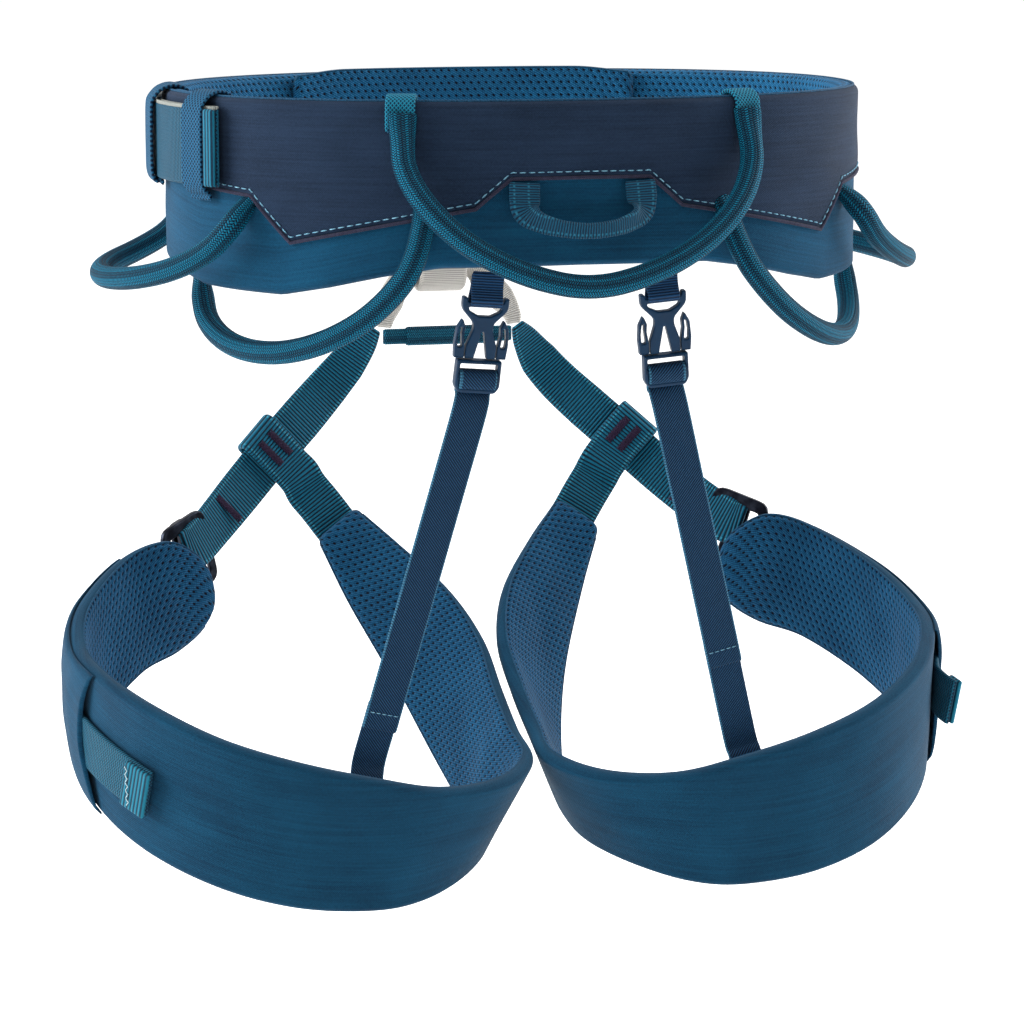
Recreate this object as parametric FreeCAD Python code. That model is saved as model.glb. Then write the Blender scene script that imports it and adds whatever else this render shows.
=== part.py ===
import FreeCAD, Part
import math
import os

# Climbing sit harness, size M.  Millimetres.  +X is the wearer's right, +Y the wearer's front, +Z up.
# The origin is the centre of the waist opening, 39 mm below the belt's top edge.

V = FreeCAD.Vector

# ---------------------------------------------------------------- driving dimensions
GAP = 0.3                    # air between layers that are sewn together

WAIST_HALF_WIDTH = 140.5     # outside of the belt, in plan
WAIST_HALF_DEPTH = 105.0
WAIST_ROUNDNESS = 2.2        # exponent of the plan oval: 2 is an ellipse
BELT_TOP = 39.0
BELT_END = 166.0             # plan angle of the padded ends, from the back centre
BELT_STEP = 4.0              # plan angle between stations
# lower edge of the belt: plan angle from the back centre, height
BELT_LOWER_EDGE = [(0, -25.0), (20, -25.5), (30, -29.0), (40, -33.5), (50, -37.0), (62, -36.5),
                   (72, -36.0), (82, -33.0), (95, -30.0), (105, -27.0), (115, -22.0), (150, -12.0),
                   (180, -12.0)]
# lower edge of the yoke: distance from the middle plane, height; level from the last corner on
YOKE_EDGE = [(0, 9.5), (27.0, 9.3), (40.5, -2.0), (105.7, -15.6), (118.5, 1.5), (134.8, 4.5)]

YOKE_THICK = 1.2
PANEL_THICK = 1.2
FOAM_THICK = 5.0
MESH_THICK = 1.2

WAIST_WEBBING_WIDTH = 30.0
WAIST_WEBBING_THICK = 2.2
WAIST_WEBBING_Z = 19.0
KEEPER_THICK = 1.4

GEAR_CORD_RADIUS = 4.5
LEG_WEBBING_WIDTH = 20.0
LEG_WEBBING_THICK = 2.2
TIE_IN_Y = 128.5             # front tie-in points, in front of the belt
BELAY_WIDTH = 21.0
BELAY_THICK = 3.5
RISER_WIDTH = 14.2
RISER_THICK = 1.5

# leg loop on the +X side: outer face along the top edge and the bottom edge, from the inner front
# end, past the crotch, round the back and the outside to the rounded tongue under the buckle
LEG_TOP = [(44.8, 99.6, -150.6), (28, 84, -164), (10.5, 62, -181), (1.8, 37, -197), (0.9, 9, -212),
           (0.9, -18, -223), (1.2, -43, -229.5), (17, -67, -232.5), (46, -81, -231), (76, -85.5, -224),
           (108, -83.5, -216), (138, -73, -207), (162, -52, -197), (177, -23, -189),
           (181.5, 6, -183), (175, 36, -173), (155, 61.6, -160.4), (134.8, 68.6, -154),
           (121, 74, -161), (115, 78, -172)]
LEG_BOTTOM = [(62.7, 94.9, -162.9), (50, 84, -189), (35, 60, -219), (25, 33, -242), (19, 4, -257),
              (18.5, -21, -264), (23, -43, -268.5), (37.5, -63, -273.5), (56, -75.5, -277.5),
              (77, -80, -278.5), (107, -78.5, -275.5), (136, -69, -268), (160, -48, -258),
              (175, -22, -246.5), (179.5, 6, -235), (172.5, 35, -224), (150, 58, -209),
              (131, 70, -202), (119, 76, -194), (114, 79, -184)]
LEG_LAYERS = {"outer_shell": (0.0, 1.2), "foam": (1.5, 5.5), "mesh_lining": (5.8, 7.0)}


# ---------------------------------------------------------------- small helpers
def unit(v):
    return V(v) / v.Length


def mix(table, x):
    """Straight interpolation in a table of (x, value) pairs."""
    for (x0, v0), (x1, v1) in zip(table, table[1:]):
        if x <= x1:
            return v0 + (v1 - v0) * (x - x0) / (x1 - x0)
    return table[-1][1]


def curve_point(points, u):
    """Point at station number u (0 is the first) of the smooth curve through the points."""
    last = len(points) - 1
    i = min(int(u), last - 1)
    t = u - i
    p1 = V(*points[i])
    p2 = V(*points[i + 1])
    p0 = V(*points[i - 1]) if i > 0 else p1 * 2 - p2
    p3 = V(*points[i + 2]) if i + 2 <= last else p2 * 2 - p1
    return (p1 * 2 + (p2 - p0) * t + (p0 * 2 - p1 * 5 + p2 * 4 - p3) * t ** 2
            + (p1 * 3 - p0 - p2 * 3 + p3) * t ** 3) * 0.5


def loft(sections):
    """Solid through closed polygons that all have the same number of corners."""
    wires = [Part.makePolygon(s + [s[0]]) for s in sections]
    return Part.makeLoft(wires, True, True)


def layer(tops, bottoms, outside, inside, trim=0.0):
    """Sheet of fabric or foam between a top edge line and a bottom edge line.
    It lies from outside to inside millimetres behind the lines, trimmed at both edges."""
    sections = []
    last = len(tops) - 1
    for i in range(last + 1):
        along = (tops[min(i + 1, last)] + bottoms[min(i + 1, last)]
                 - tops[max(i - 1, 0)] - bottoms[max(i - 1, 0)])
        up = unit(tops[i] - bottoms[i])
        normal = unit(along.cross(up))
        top = tops[i] - up * trim
        bottom = bottoms[i] + up * trim
        sections.append([top - normal * outside, top - normal * inside,
                         bottom - normal * inside, bottom - normal * outside])
    return loft(sections)


def strip(points, across, width, thick):
    """Flat strap along points; across gives the direction of its width at each point."""
    sections = []
    last = len(points) - 1
    for i, p in enumerate(points):
        along = unit(points[min(i + 1, last)] - points[max(i - 1, 0)])
        side = across[i] - along * across[i].dot(along)
        side = unit(side) * (width[i] / 2 if isinstance(width, list) else width / 2)
        normal = unit(along.cross(side)) * thick / 2
        sections.append([p + side + normal, p + side - normal, p - side - normal, p - side + normal])
    return loft(sections)


def tube(points, radius):
    """Round cord: straight runs joined by tangent arcs as large as the runs allow."""
    edges = []
    start = points[0]
    for before, corner, after in zip(points, points[1:], points[2:]):
        a = unit(before - corner)
        b = unit(after - corner)
        turn = math.pi - a.getAngle(b)
        cut = 0.45 * min((before - corner).Length, (after - corner).Length)
        bend = cut / math.tan(turn / 2)
        middle = unit(a + b)
        centre = corner + middle * math.hypot(bend, cut)
        edges.append(Part.LineSegment(start, corner + a * cut).toShape())
        edges.append(Part.Arc(corner + a * cut, centre - middle * bend, corner + b * cut).toShape())
        start = corner + b * cut
    edges.append(Part.LineSegment(start, points[-1]).toShape())
    path = Part.Wire(edges)
    ring = Part.Wire(Part.makeCircle(radius, points[0], points[1] - points[0]))
    solid = path.makePipeShell([ring], True, False)
    straight = math.pi * radius ** 2 * path.Length
    print("cord of %.1f mm, volume over section times length %.3f"
          % (path.Length, solid.Volume / straight))
    return solid


def plate(outline, holes, thick):
    """Flat part drawn in x and y and centred on z = 0; outline and holes are polygons."""
    solids = []
    for loop in [outline] + holes:
        corners = [V(x, y, -thick / 2) for x, y in loop + [loop[0]]]
        solids.append(Part.Face(Part.makePolygon(corners)).extrude(V(0, 0, thick)))
    return solids[0].cut(solids[1:]) if holes else solids[0]


def box_loop(x0, y0, x1, y1, corner=0.0):
    """Rectangle with cut corners, as a polygon."""
    c = corner
    if c == 0:
        return [(x0, y0), (x1, y0), (x1, y1), (x0, y1)]
    return [(x0 + c, y0), (x1 - c, y0), (x1, y0 + c), (x1, y1 - c),
            (x1 - c, y1), (x0 + c, y1), (x0, y1 - c), (x0, y0 + c)]


def place(shape, origin, x_axis, z_axis):
    """Moves a part drawn at the origin to a place, with its x and z along the given directions."""
    z = unit(z_axis)
    x = unit(x_axis - z * x_axis.dot(z))
    y = z.cross(x)
    m = FreeCAD.Matrix(x.x, y.x, z.x, origin.x, x.y, y.y, z.y, origin.y, x.z, y.z, z.z, origin.z)
    return shape.transformGeometry(m)


def mirrored(shape):
    return shape.mirror(V(0, 0, 0), V(1, 0, 0))


# ---------------------------------------------------------------- waist belt
def plan_angle(x):
    """Plan angle from the back centre, in degrees, of the outer face at this distance sideways."""
    return math.degrees(math.asin((x / WAIST_HALF_WIDTH) ** (WAIST_ROUNDNESS / 2)))


def belt_point(angle, z, proud=0.0):
    """Point on the belt's outer face, moved outwards by proud."""
    s = math.sin(math.radians(angle))
    c = -math.cos(math.radians(angle))
    p = 2 / WAIST_ROUNDNESS
    x = WAIST_HALF_WIDTH * math.copysign(abs(s) ** p, s)
    y = WAIST_HALF_DEPTH * math.copysign(abs(c) ** p, c)
    n = V(math.copysign(abs(s) ** (2 - p) / WAIST_HALF_WIDTH, s),
          math.copysign(abs(c) ** (2 - p) / WAIST_HALF_DEPTH, c), 0)
    return V(x, y, z) + unit(n) * proud


def belt_outward(angle):
    return belt_point(angle, 0, 1) - belt_point(angle, 0)


def belt_along(angle):
    """Direction of the belt at a plan angle, towards growing angles."""
    return belt_outward(angle).cross(V(0, 0, -1))


def yoke_height(angle):
    corners = [(plan_angle(x), z) for x, z in YOKE_EDGE]
    return mix(corners, abs(angle)) if abs(angle) < corners[-1][0] else YOKE_EDGE[-1][1]


def belt_angles(first, last):
    """Stations along the belt, with one at every corner of the yoke's edge."""
    corners = [side * plan_angle(x) for x, z in YOKE_EDGE for side in (-1, 1)]
    count = int((last - first) / BELT_STEP)
    even = [first + (last - first) * i / count for i in range(count + 1)]
    kept = [a for a in even if min(abs(a - c) for c in corners) > 1.2]
    return sorted(set(kept + [c for c in corners if first < c < last] + [first, last]))


def belt_layer(first, last, low, high, outside, inside):
    """Layer of the belt between two plan angles; low and high give its edges' heights."""
    angles = belt_angles(first, last)
    tops = [belt_point(a, high(a), -outside) for a in angles]
    bottoms = [belt_point(a, low(a), -outside) for a in angles]
    return layer(tops, bottoms, 0, inside - outside)


def make_belt():
    top = lambda a: BELT_TOP - max(0, abs(a) - 158) * 0.5
    low = lambda a: mix(BELT_LOWER_EDGE, abs(a)) + max(0, abs(a) - 158) * 0.5
    panel = YOKE_THICK + GAP
    foam = panel + PANEL_THICK + GAP
    mesh = foam + FOAM_THICK + GAP
    flap = mesh + MESH_THICK + GAP
    return {
        "belt_yoke": belt_layer(-BELT_END, BELT_END, yoke_height, top, 0, YOKE_THICK),
        "belt_lower_panel": belt_layer(-BELT_END, BELT_END, low, top, panel, panel + PANEL_THICK),
        "belt_foam": belt_layer(-BELT_END, BELT_END, low, top, foam, foam + FOAM_THICK),
        "belt_mesh_lining": belt_layer(-BELT_END, BELT_END, low, top, mesh, mesh + MESH_THICK),
        "belt_front_flap": belt_layer(148, 212, lambda a: -9.0, lambda a: 36.0, flap, flap + 4),
    }


def belt_strap(first, last, z, proud, width, thick, step=5.0):
    """Strap lying along the belt between two plan angles."""
    count = max(2, int(abs(last - first) / step))
    angles = [first + (last - first) * i / count for i in range(count + 1)]
    points = [belt_point(a, z, proud + thick / 2) for a in angles]
    return strip(points, [V(0, 0, 1)] * len(points), width, thick)


WAIST_BUCKLE_ANGLE = -148.0
TAIL_PROUD = 1.8             # air under the flat stretch of the waist strap's tail


def make_waist_strap():
    """Load webbing round the front, its metal buckle, the doubled-back tail and two keepers."""
    webbing_proud = GAP
    tail_proud = webbing_proud + WAIST_WEBBING_THICK + 5.0
    a = WAIST_BUCKLE_ANGLE
    frame = plate(box_loop(-16, -18.5, 16, 18.5, 5),
                  [box_loop(-11, -15.5, -4.5, 15.5), box_loop(4.5, -15.5, 11, 15.5)], 2.6)
    slider = plate(box_loop(-5.5, -17.5, 5.5, 17.5, 2.5), [], 2.2)
    proud = webbing_proud + WAIST_WEBBING_THICK + GAP + 1.3 + 0.8
    at = belt_point(a, WAIST_WEBBING_Z, proud)
    slider_at = belt_point(a, WAIST_WEBBING_Z, proud + 2.8)
    shapes = {
        "waist_webbing": belt_strap(118, 360 - 126, WAIST_WEBBING_Z, webbing_proud,
                                    WAIST_WEBBING_WIDTH, WAIST_WEBBING_THICK),
        "waist_buckle_frame": place(frame, at, belt_along(a), belt_outward(a)),
        "waist_buckle_slider": place(slider, slider_at, belt_along(a), belt_outward(a)),
    }
    # tail: leaves the buckle, comes down to the belt and ends in a sewn fold
    tail_angles = [-134, -128, -121, -113, -105, -97, -89, -82, -76, -70, -65.5, -63]
    rise = [tail_proud, tail_proud - 1.5, 3.2, 2.2] + [TAIL_PROUD] * 8
    tail = [belt_point(b, WAIST_WEBBING_Z, r + WAIST_WEBBING_THICK / 2)
            for b, r in zip(tail_angles, rise)]
    fold = belt_strap(-65.4, -63.1, WAIST_WEBBING_Z, TAIL_PROUD + WAIST_WEBBING_THICK + GAP,
                      WAIST_WEBBING_WIDTH, WAIST_WEBBING_THICK, 2)
    strap = strip(tail, [V(0, 0, 1)] * len(tail), WAIST_WEBBING_WIDTH, WAIST_WEBBING_THICK)
    shapes["waist_strap_tail"] = Part.Compound([strap, fold])
    # keepers: flat elastic bands over the tail, sewn to the belt above and below it
    over = TAIL_PROUD + WAIST_WEBBING_THICK + 3 * GAP
    for name, first, last, top, low in (("tail_keeper_front", -97, -89, 37.5, 0.0),
                                        ("tail_keeper_rear", -73, -66, 38.5, -3.0)):
        shapes[name] = keeper(first, last, top, low, over)
    return shapes


def keeper(first, last, top, low, over):
    """Elastic band that stands off the belt where the strap passes under it."""
    half = WAIST_WEBBING_WIDTH / 2
    heights = [top, WAIST_WEBBING_Z + half + 1.5, WAIST_WEBBING_Z + half - 1,
               WAIST_WEBBING_Z, WAIST_WEBBING_Z - half + 1, WAIST_WEBBING_Z - half - 1.5, low]
    standoff = [GAP, over - 1.2, over, over + 0.3, over, over - 1.2, GAP]
    middle = (first + last) / 2
    width = (belt_point(last, 0) - belt_point(first, 0)).Length
    points = [belt_point(middle, z, s + KEEPER_THICK / 2) for z, s in zip(heights, standoff)]
    return strip(points, [belt_along(middle)] * len(points), width, KEEPER_THICK)


# ---------------------------------------------------------------- gear loops and haul loop
# routes of the cords on the +X side, from the back to the front
REAR_LOOP_HALF = [(67.5, -100.8, 32), (68.3, -104, 14), (61.0, -111, -1), (46.0, -116.5, -15),
                  (24.5, -119.5, -26)]
REAR_LOOP_LOW = (0, -120.5, -31.5)
SIDE_LOOP = [(59.5, -102.9, -12), (64.5, -104, -22), (72.5, -104, -33), (84.5, -99.5, -44.5),
             (99.5, -89, -53.5), (113.5, -73.5, -58), (125, -54, -57), (131.5, -37, -50),
             (132, -29, -39.5)]
FRONT_LOOP = [(122.8, -65.0, 1.5), (127.5, -64.5, -11), (135, -58, -20.5), (147, -46, -28),
              (158.5, -29, -32.5), (166, -8, -34.5), (166.5, 12, -34), (159, 29, -32),
              (147.5, 40, -29), (135.3, 45.1, -23.5)]


def make_gear_loops():
    rear = [V(-x, y, z) for x, y, z in REAR_LOOP_HALF]
    rear = rear + [V(*REAR_LOOP_LOW)] + [V(-p.x, p.y, p.z) for p in reversed(rear)]
    side = tube([V(*p) for p in SIDE_LOOP], GEAR_CORD_RADIUS)
    front = tube([V(*p) for p in FRONT_LOOP], GEAR_CORD_RADIUS)
    tabs = []
    for sign in (-1, 1):
        angle = sign * plan_angle(67.5)
        tabs.append(belt_strap(angle - 2.6, angle + 2.6, 36.5, GAP, 8.0, 3.0, 1.7))
    return {"rear_gear_loop": tube(rear, GEAR_CORD_RADIUS),
            "rear_gear_loop_tabs": Part.Compound(tabs),
            "side_gear_loop_right": side, "side_gear_loop_left": mirrored(side),
            "front_gear_loop_right": front, "front_gear_loop_left": mirrored(front)}


def make_haul_loop():
    """Short flat handle in the middle of the back, hanging from the yoke's edge."""
    half = [(22.5, -106.0, 8), (22.8, -107.2, 2), (22.6, -109.0, -2.5), (19.0, -112.6, -6.0),
            (11.0, -115.8, -8.5), (0, -117.0, -9.5)]
    points = [V(-x, y, z) for x, y, z in half] + [V(x, y, z) for x, y, z in reversed(half[:-1])]
    legs = V(1, 0, 0)
    bar = V(0, -0.25, 1)
    turn = [legs, legs, V(1, 0, 1), bar, bar]
    across = turn + [bar] + [V(-v.x, v.y, v.z) for v in reversed(turn)]
    # one strap, its width turning from sideways on the legs to upright on the handle
    return {"haul_loop": strip(points, across, 9.0, 2.0)}


# ---------------------------------------------------------------- front tie-in
# lower tie-in loop from its +X end to the middle, and the upper one in plan
ARCH_HALF = [(29.0, 109.5, -72.5), (28.2, 110.4, -68.0), (24.6, 116, -61.5), (19.5, 122.4, -55.5),
             (13, 128.2, -50.2), (0, TIE_IN_Y, -49.0)]
# direction of its width: it turns from facing backwards at the ends to lying flat in the middle
ARCH_ACROSS = [(1, 0.1, 0.1), (1, 0.1, 0.3), (0.85, -0.1, 0.6), (0.7, -0.4, 0.7), (0.3, -0.9, 0.2),
               (0, -1, 0)]
UPPER_HALF = [(25.0, 110.0), (22.5, 115.0), (16.5, 123.0), (9.0, 127.5), (0.0, TIE_IN_Y)]
UPPER_TIE_IN_WIDTH = 14.0
TIE_IN_THICK = 3.0
BRIDGE_AT = V(0, 112.6, -77.0)
BRIDGE_WIDTH = 6.8
BRIDGE_THICK = 2.4


def mirrored_route(half):
    """Route through both halves: half runs from the +X end to the middle."""
    left = [V(-p.x, p.y, p.z) for p in half]
    return left + [V(p) for p in reversed(half[:-1])]


def bridge_piece(half, width, thick):
    """Straight strap across the front between the leg loops."""
    ends = [BRIDGE_AT - V(half, 0, 0), BRIDGE_AT + V(half, 0, 0)]
    return strip(ends, [V(0, 0, 1)] * 2, width, thick)


def make_tie_in():
    upper = mirrored_route([V(x, y, WAIST_WEBBING_Z) for x, y in UPPER_HALF])
    arch = mirrored_route([V(*p) for p in ARCH_HALF])
    # belay loop: flat ring round the upper and the lower tie-in strap
    inner_half = 8.0
    low_centre = -48.0
    high_centre = WAIST_WEBBING_Z + 1.0
    rings = []
    for radius in (inner_half + BELAY_THICK, inner_half):
        left = V(-BELAY_WIDTH / 2, TIE_IN_Y - radius, 0)
        right = V(-BELAY_WIDTH / 2, TIE_IN_Y + radius, 0)
        low = V(left.x, TIE_IN_Y, low_centre - radius)
        high = V(left.x, TIE_IN_Y, high_centre + radius)
        down = V(0, 0, low_centre)
        up = V(0, 0, high_centre)
        rings.append(Part.Wire([Part.LineSegment(left + up, left + down).toShape(),
                                Part.Arc(left + down, low, right + down).toShape(),
                                Part.LineSegment(right + down, right + up).toShape(),
                                Part.Arc(right + up, high, left + up).toShape()]))
    belay = [Part.Face(ring).extrude(V(BELAY_WIDTH, 0, 0)) for ring in rings]
    bridge = bridge_piece(28.3, BRIDGE_WIDTH, BRIDGE_THICK)
    sleeve = bridge_piece(18.7, BRIDGE_WIDTH + 1.6, BRIDGE_THICK + 2.2)
    hollow = bridge_piece(19.7, BRIDGE_WIDTH + 2 * GAP, BRIDGE_THICK + 2 * GAP)
    arch_widths = [6.5, 8.5] + [12.5] * (len(arch) - 4) + [8.5, 6.5]
    arch_across = [V(-x, y, z) for x, y, z in ARCH_ACROSS]
    arch_across += [V(-x, -y, -z) for x, y, z in reversed(ARCH_ACROSS[:-1])]
    return {
        "upper_tie_in_loop": strip(upper, [V(0, 0, 1)] * len(upper), UPPER_TIE_IN_WIDTH, TIE_IN_THICK),
        "lower_tie_in_loop": strip(arch, arch_across, arch_widths, TIE_IN_THICK),
        "belay_loop": belay[0].cut(belay[1]),
        "bridge_strap": bridge,
        "bridge_sleeve": sleeve.cut(hollow),
    }


# ---------------------------------------------------------------- leg loops
def leg_edges(first, last, step=0.5):
    count = max(1, round((last - first) / step))
    stations = [first + (last - first) * i / count for i in range(count + 1)]
    return [curve_point(LEG_TOP, u) for u in stations], [curve_point(LEG_BOTTOM, u) for u in stations]


def leg_face(u, part):
    """Point on the leg loop's outer face, part of the way from the bottom edge to the top one."""
    return curve_point(LEG_BOTTOM, u) * (1 - part) + curve_point(LEG_TOP, u) * part


def leg_outward(u):
    along = leg_face(min(u + 0.2, 19), 0.5) - leg_face(max(u - 0.2, 0), 0.5)
    return unit(along.cross(leg_face(u, 1) - leg_face(u, 0)))


def make_leg_padding():
    tops, bottoms = leg_edges(0, len(LEG_TOP) - 1)
    return {"leg_" + name: layer(tops, bottoms, depth[0], depth[1]) for name, depth in LEG_LAYERS.items()}


# front webbing: route and the direction of its width, from the tie-in to the buckle
MAIN_WEBBING = [((32.0, 114.4, -73.6), (0.9, 0.1, 0.4)), ((36.1, 118.0, -79.8), (0.72, 0.05, 0.69)),
                ((43.5, 121.5, -90), (0.72, -0.05, 0.68)),
                ((52.6, 121.2, -100.3), (0.73, 0, 0.68)), ((64, 116.5, -111.3), (0.69, 0.03, 0.72)),
                ((78.5, 109.3, -124.7), (0.68, 0.03, 0.73)), ((93.7, 100.3, -139.1), (0.6, 0.02, 0.78)),
                ((105.3, 88.3, -150.3), (0.38, -0.15, 0.91)), ((116.5, 77.9, -158.2), (0.33, -0.25, 0.91))]
MAIN_WIDTHS = [6.0, 12.0, 17.5, 19.0] + [LEG_WEBBING_WIDTH] * 5
LOOP_STATION = 5             # station of the front webbing that the sewn loop goes round
LOOP_LENGTH = 17.0
INNER_WEBBING = [(54.2, 99.2, -155.4), (59.5, 101.8, -148), (64.5, 104.2, -141.5), (69, 107.2, -135.8)]
INNER_ACROSS = (-0.8, 0.2, 0.58)
BUCKLE_AT = V(120.8, 79.9, -163.5)
BUCKLE_ALONG = V(0.74, -0.60, -0.30)
BUCKLE_OUT = V(0.60, 0.79, 0.0)


def webbing_stretch(half):
    """Stretch of the front webbing to both sides of the loop's station: points and width directions."""
    centre = V(*MAIN_WEBBING[LOOP_STATION][0])
    side = V(*MAIN_WEBBING[LOOP_STATION][1])
    points = [centre]
    across = [side]
    for step in (-1, 1):
        to, side_to = MAIN_WEBBING[LOOP_STATION + step]
        reach = V(*to) - centre
        share = half / reach.Length
        at = 0 if step < 0 else 2
        points.insert(at, centre + reach * share)
        across.insert(at, side * (1 - share) + V(*side_to) * share)
    return points, across


def make_leg_webbing():
    route = [V(*p) for p, w in MAIN_WEBBING]
    main = strip(route, [V(*w) for p, w in MAIN_WEBBING], MAIN_WIDTHS, LEG_WEBBING_THICK)
    inner_route = [V(*p) for p in INNER_WEBBING]
    inner_across = [V(*INNER_ACROSS)] * len(inner_route)
    inner = strip(inner_route, inner_across, LEG_WEBBING_WIDTH, LEG_WEBBING_THICK)
    # loop sewn round the front webbing: a flat sleeve with the webbing's section left free inside
    half = LOOP_LENGTH / 2
    loop = strip(*webbing_stretch(half), LEG_WEBBING_WIDTH + 5, 7.2)
    hole = strip(*webbing_stretch(half + 1), LEG_WEBBING_WIDTH + 2.4, 4.4)
    frame = plate(box_loop(-13.5, -17, 13.5, 17, 5),
                  [box_loop(-9.5, -11.5, -3.5, 11.5), box_loop(3.5, -11.5, 9.5, 11.5)], 2.4)
    slider = plate(box_loop(-4.5, -16, 4.5, 16, 2), [], 2.0)
    return {
        "leg_main_webbing": main,
        "leg_inner_webbing": inner,
        "leg_webbing_loop": loop.cut(hole),
        "leg_buckle_frame": place(frame, BUCKLE_AT, BUCKLE_ALONG, BUCKLE_OUT),
        "leg_buckle_slider": place(slider, BUCKLE_AT + unit(BUCKLE_OUT) * 2.7, BUCKLE_ALONG, BUCKLE_OUT),
    }


SLEEVE_REAR = 12.95          # stations of the tail's fabric sleeve on the outside of the leg loop
SLEEVE_FRONT = 16.1
SLEEVE_THICK = 1.4
SLEEVE_SLACK = 1.1           # air between the tail and its sleeve
SLEEVE_TRIM = 1.5            # how far its edges stay inside the leg loop's


def make_leg_sleeve():
    """Fabric sleeve over the strap tail, sewn along the leg loop's edges."""
    tops, bottoms = leg_edges(SLEEVE_REAR, SLEEVE_FRONT)
    inside = GAP + LEG_WEBBING_THICK + SLEEVE_SLACK
    return layer(tops, bottoms, -(inside + SLEEVE_THICK), -inside, SLEEVE_TRIM)


def make_leg_tail(end_station, flare, height, fold_length):
    """Strap tail that leaves the sleeve towards the back and ends in a sewn fold."""
    count = 5
    points = []
    across = []
    for i in range(count + 1):
        u = SLEEVE_REAR + 0.6 + (end_station - SLEEVE_REAR - 0.6) * i / count
        lift = GAP + LEG_WEBBING_THICK / 2 + flare * max(0, i - 3) ** 2 / (count - 3) ** 2
        points.append(leg_face(u, height) + leg_outward(u) * lift)
        across.append(leg_face(u, 1) - leg_face(u, 0))
    strap = strip(points, across, LEG_WEBBING_WIDTH, LEG_WEBBING_THICK)
    last = points[-1]
    back = unit(points[-2] - last)
    out = unit(across[-1].cross(back))
    out = out * (LEG_WEBBING_THICK + 2 * GAP) * (1 if out.dot(leg_outward(end_station)) > 0 else -1)
    fold = strip([last + out, last + out + back * fold_length], [across[-1]] * 2,
                 LEG_WEBBING_WIDTH, LEG_WEBBING_THICK)
    return Part.Compound([strap, fold])


# ---------------------------------------------------------------- rear risers
RISER_TOP = V(34, -95, -36.5)            # middle of the upper buckle half's top
RISER_OUT = V(-0.014, -0.992, -0.125)    # the riser lies in one plane, facing backwards
RISER_SIDE = V(1, 0, 0)
RISER_LEAN = 14.4                         # degrees, of the elastic from the buckle's line
ELASTIC_LENGTHS = {"right": 117.0, "left": 136.5}
STUB_LENGTHS = {"right": 43.5, "left": 24.5}
BUCKLE_LEAN = 5.0                        # degrees, of the tab and the buckle round the tab's top
BUCKLE_SCALE = 0.89                      # the side-release buckle's outlines are drawn for 20 mm webbing
TAB_TOP = 9.6
BUCKLE_THICK = 5.0                       # of the female half; the male half and its arms are thinner
MALE_THICK = 4.0


def on_riser(shape, proud=0.0):
    """Moves a part drawn in x (outwards) and y (up) into the riser's plane."""
    return place(shape, RISER_TOP + unit(RISER_OUT) * proud, RISER_SIDE, RISER_OUT)


def mirrored_outline(outline):
    return [(-x, y) for x, y in outline]


def buckle_plate(outline, holes, thick):
    """Plate of the side-release buckle, in the riser's plane."""
    scaled = [[(x * BUCKLE_SCALE, y * BUCKLE_SCALE) for x, y in loop] for loop in [outline] + holes]
    return leaning(plate(scaled[0], scaled[1:], thick))


def leaning(shape):
    """Turns a part drawn upright by the buckle's lean and moves it into the riser's plane."""
    shape.rotate(V(0, TAB_TOP, 0), V(0, 0, 1), BUCKLE_LEAN)
    return on_riser(shape)


def make_riser(length, stub_length):
    male = [(-10, 0.5), (-8.2, 0.5), (-7.6, -3), (7.6, -3), (8.2, 0.5), (10, 0.5), (10, -4.5),
            (4.3, -11), (4.3, -14), (6.4, -21), (6.4, -26), (2.6, -26), (0, -16.5), (-2.6, -26),
            (-6.4, -26), (-6.4, -21), (-4.3, -14), (-4.3, -11), (-10, -4.5)]
    arm = [(7.5, -26), (7.5, -21.5), (8.4, -16), (8.2, -12.5), (9.4, -9.5), (10.9, -13),
           (11.2, -22), (10.6, -26)]
    arm_slot = [(8.9, -19), (9.2, -14), (9.9, -14), (10.1, -19)]
    frame_holes = [box_loop(-7.8, -31.5, 7.8, -29.0), box_loop(-7.8, -38.2, 7.8, -35.7)]
    frame = box_loop(-10.3, -41.5, 10.3, -26.6, 1.5)
    inner_arm = mirrored_outline(arm)
    inner_slot = mirrored_outline(arm_slot)
    lean = math.radians(RISER_LEAN)
    down = V(math.sin(lean), -math.cos(lean), 0)
    across = V(math.cos(lean), math.sin(lean), 0)
    top = V(4.7, -39.2, 0)
    elastic = strip([top, top + down * length], [across] * 2, RISER_WIDTH, RISER_THICK)
    # lower strap: flat behind the elastic's end, then down behind the leg loop's top edge
    end = top + down * length
    behind = -(RISER_THICK + GAP)
    stub = [end - down * 11, end, end + down * (stub_length - 11.5), end + down * (stub_length - 5.5),
            end + down * stub_length]
    depth = [behind, behind, behind, behind + 2.8, behind + 5.6]
    tab = box_loop(-6.0, -1.4, 6.0, TAB_TOP)
    stub = strip([V(p.x, p.y, d) for p, d in zip(stub, depth)], [across] * 5, RISER_WIDTH, RISER_THICK)
    return {
        "riser_tab": leaning(plate(tab, [], RISER_THICK)),
        "riser_buckle_male": buckle_plate(male, [box_loop(-7.2, -6.2, 7.2, -4.4)], MALE_THICK),
        "riser_pinch_arm_outer": buckle_plate(arm, [arm_slot], MALE_THICK),
        "riser_pinch_arm_inner": buckle_plate(inner_arm, [inner_slot], MALE_THICK),
        "riser_buckle_female": buckle_plate(frame, frame_holes, BUCKLE_THICK),
        "riser_elastic": on_riser(elastic),
        "riser_stub": on_riser(stub),
    }


# ---------------------------------------------------------------- assembly
def pair(shapes):
    """Right-hand pieces and their mirror images, with the side at the end of the name."""
    both = {}
    for name, shape in shapes.items():
        both[name + "_right"] = shape
        both[name + "_left"] = mirrored(shape)
    return both


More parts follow.
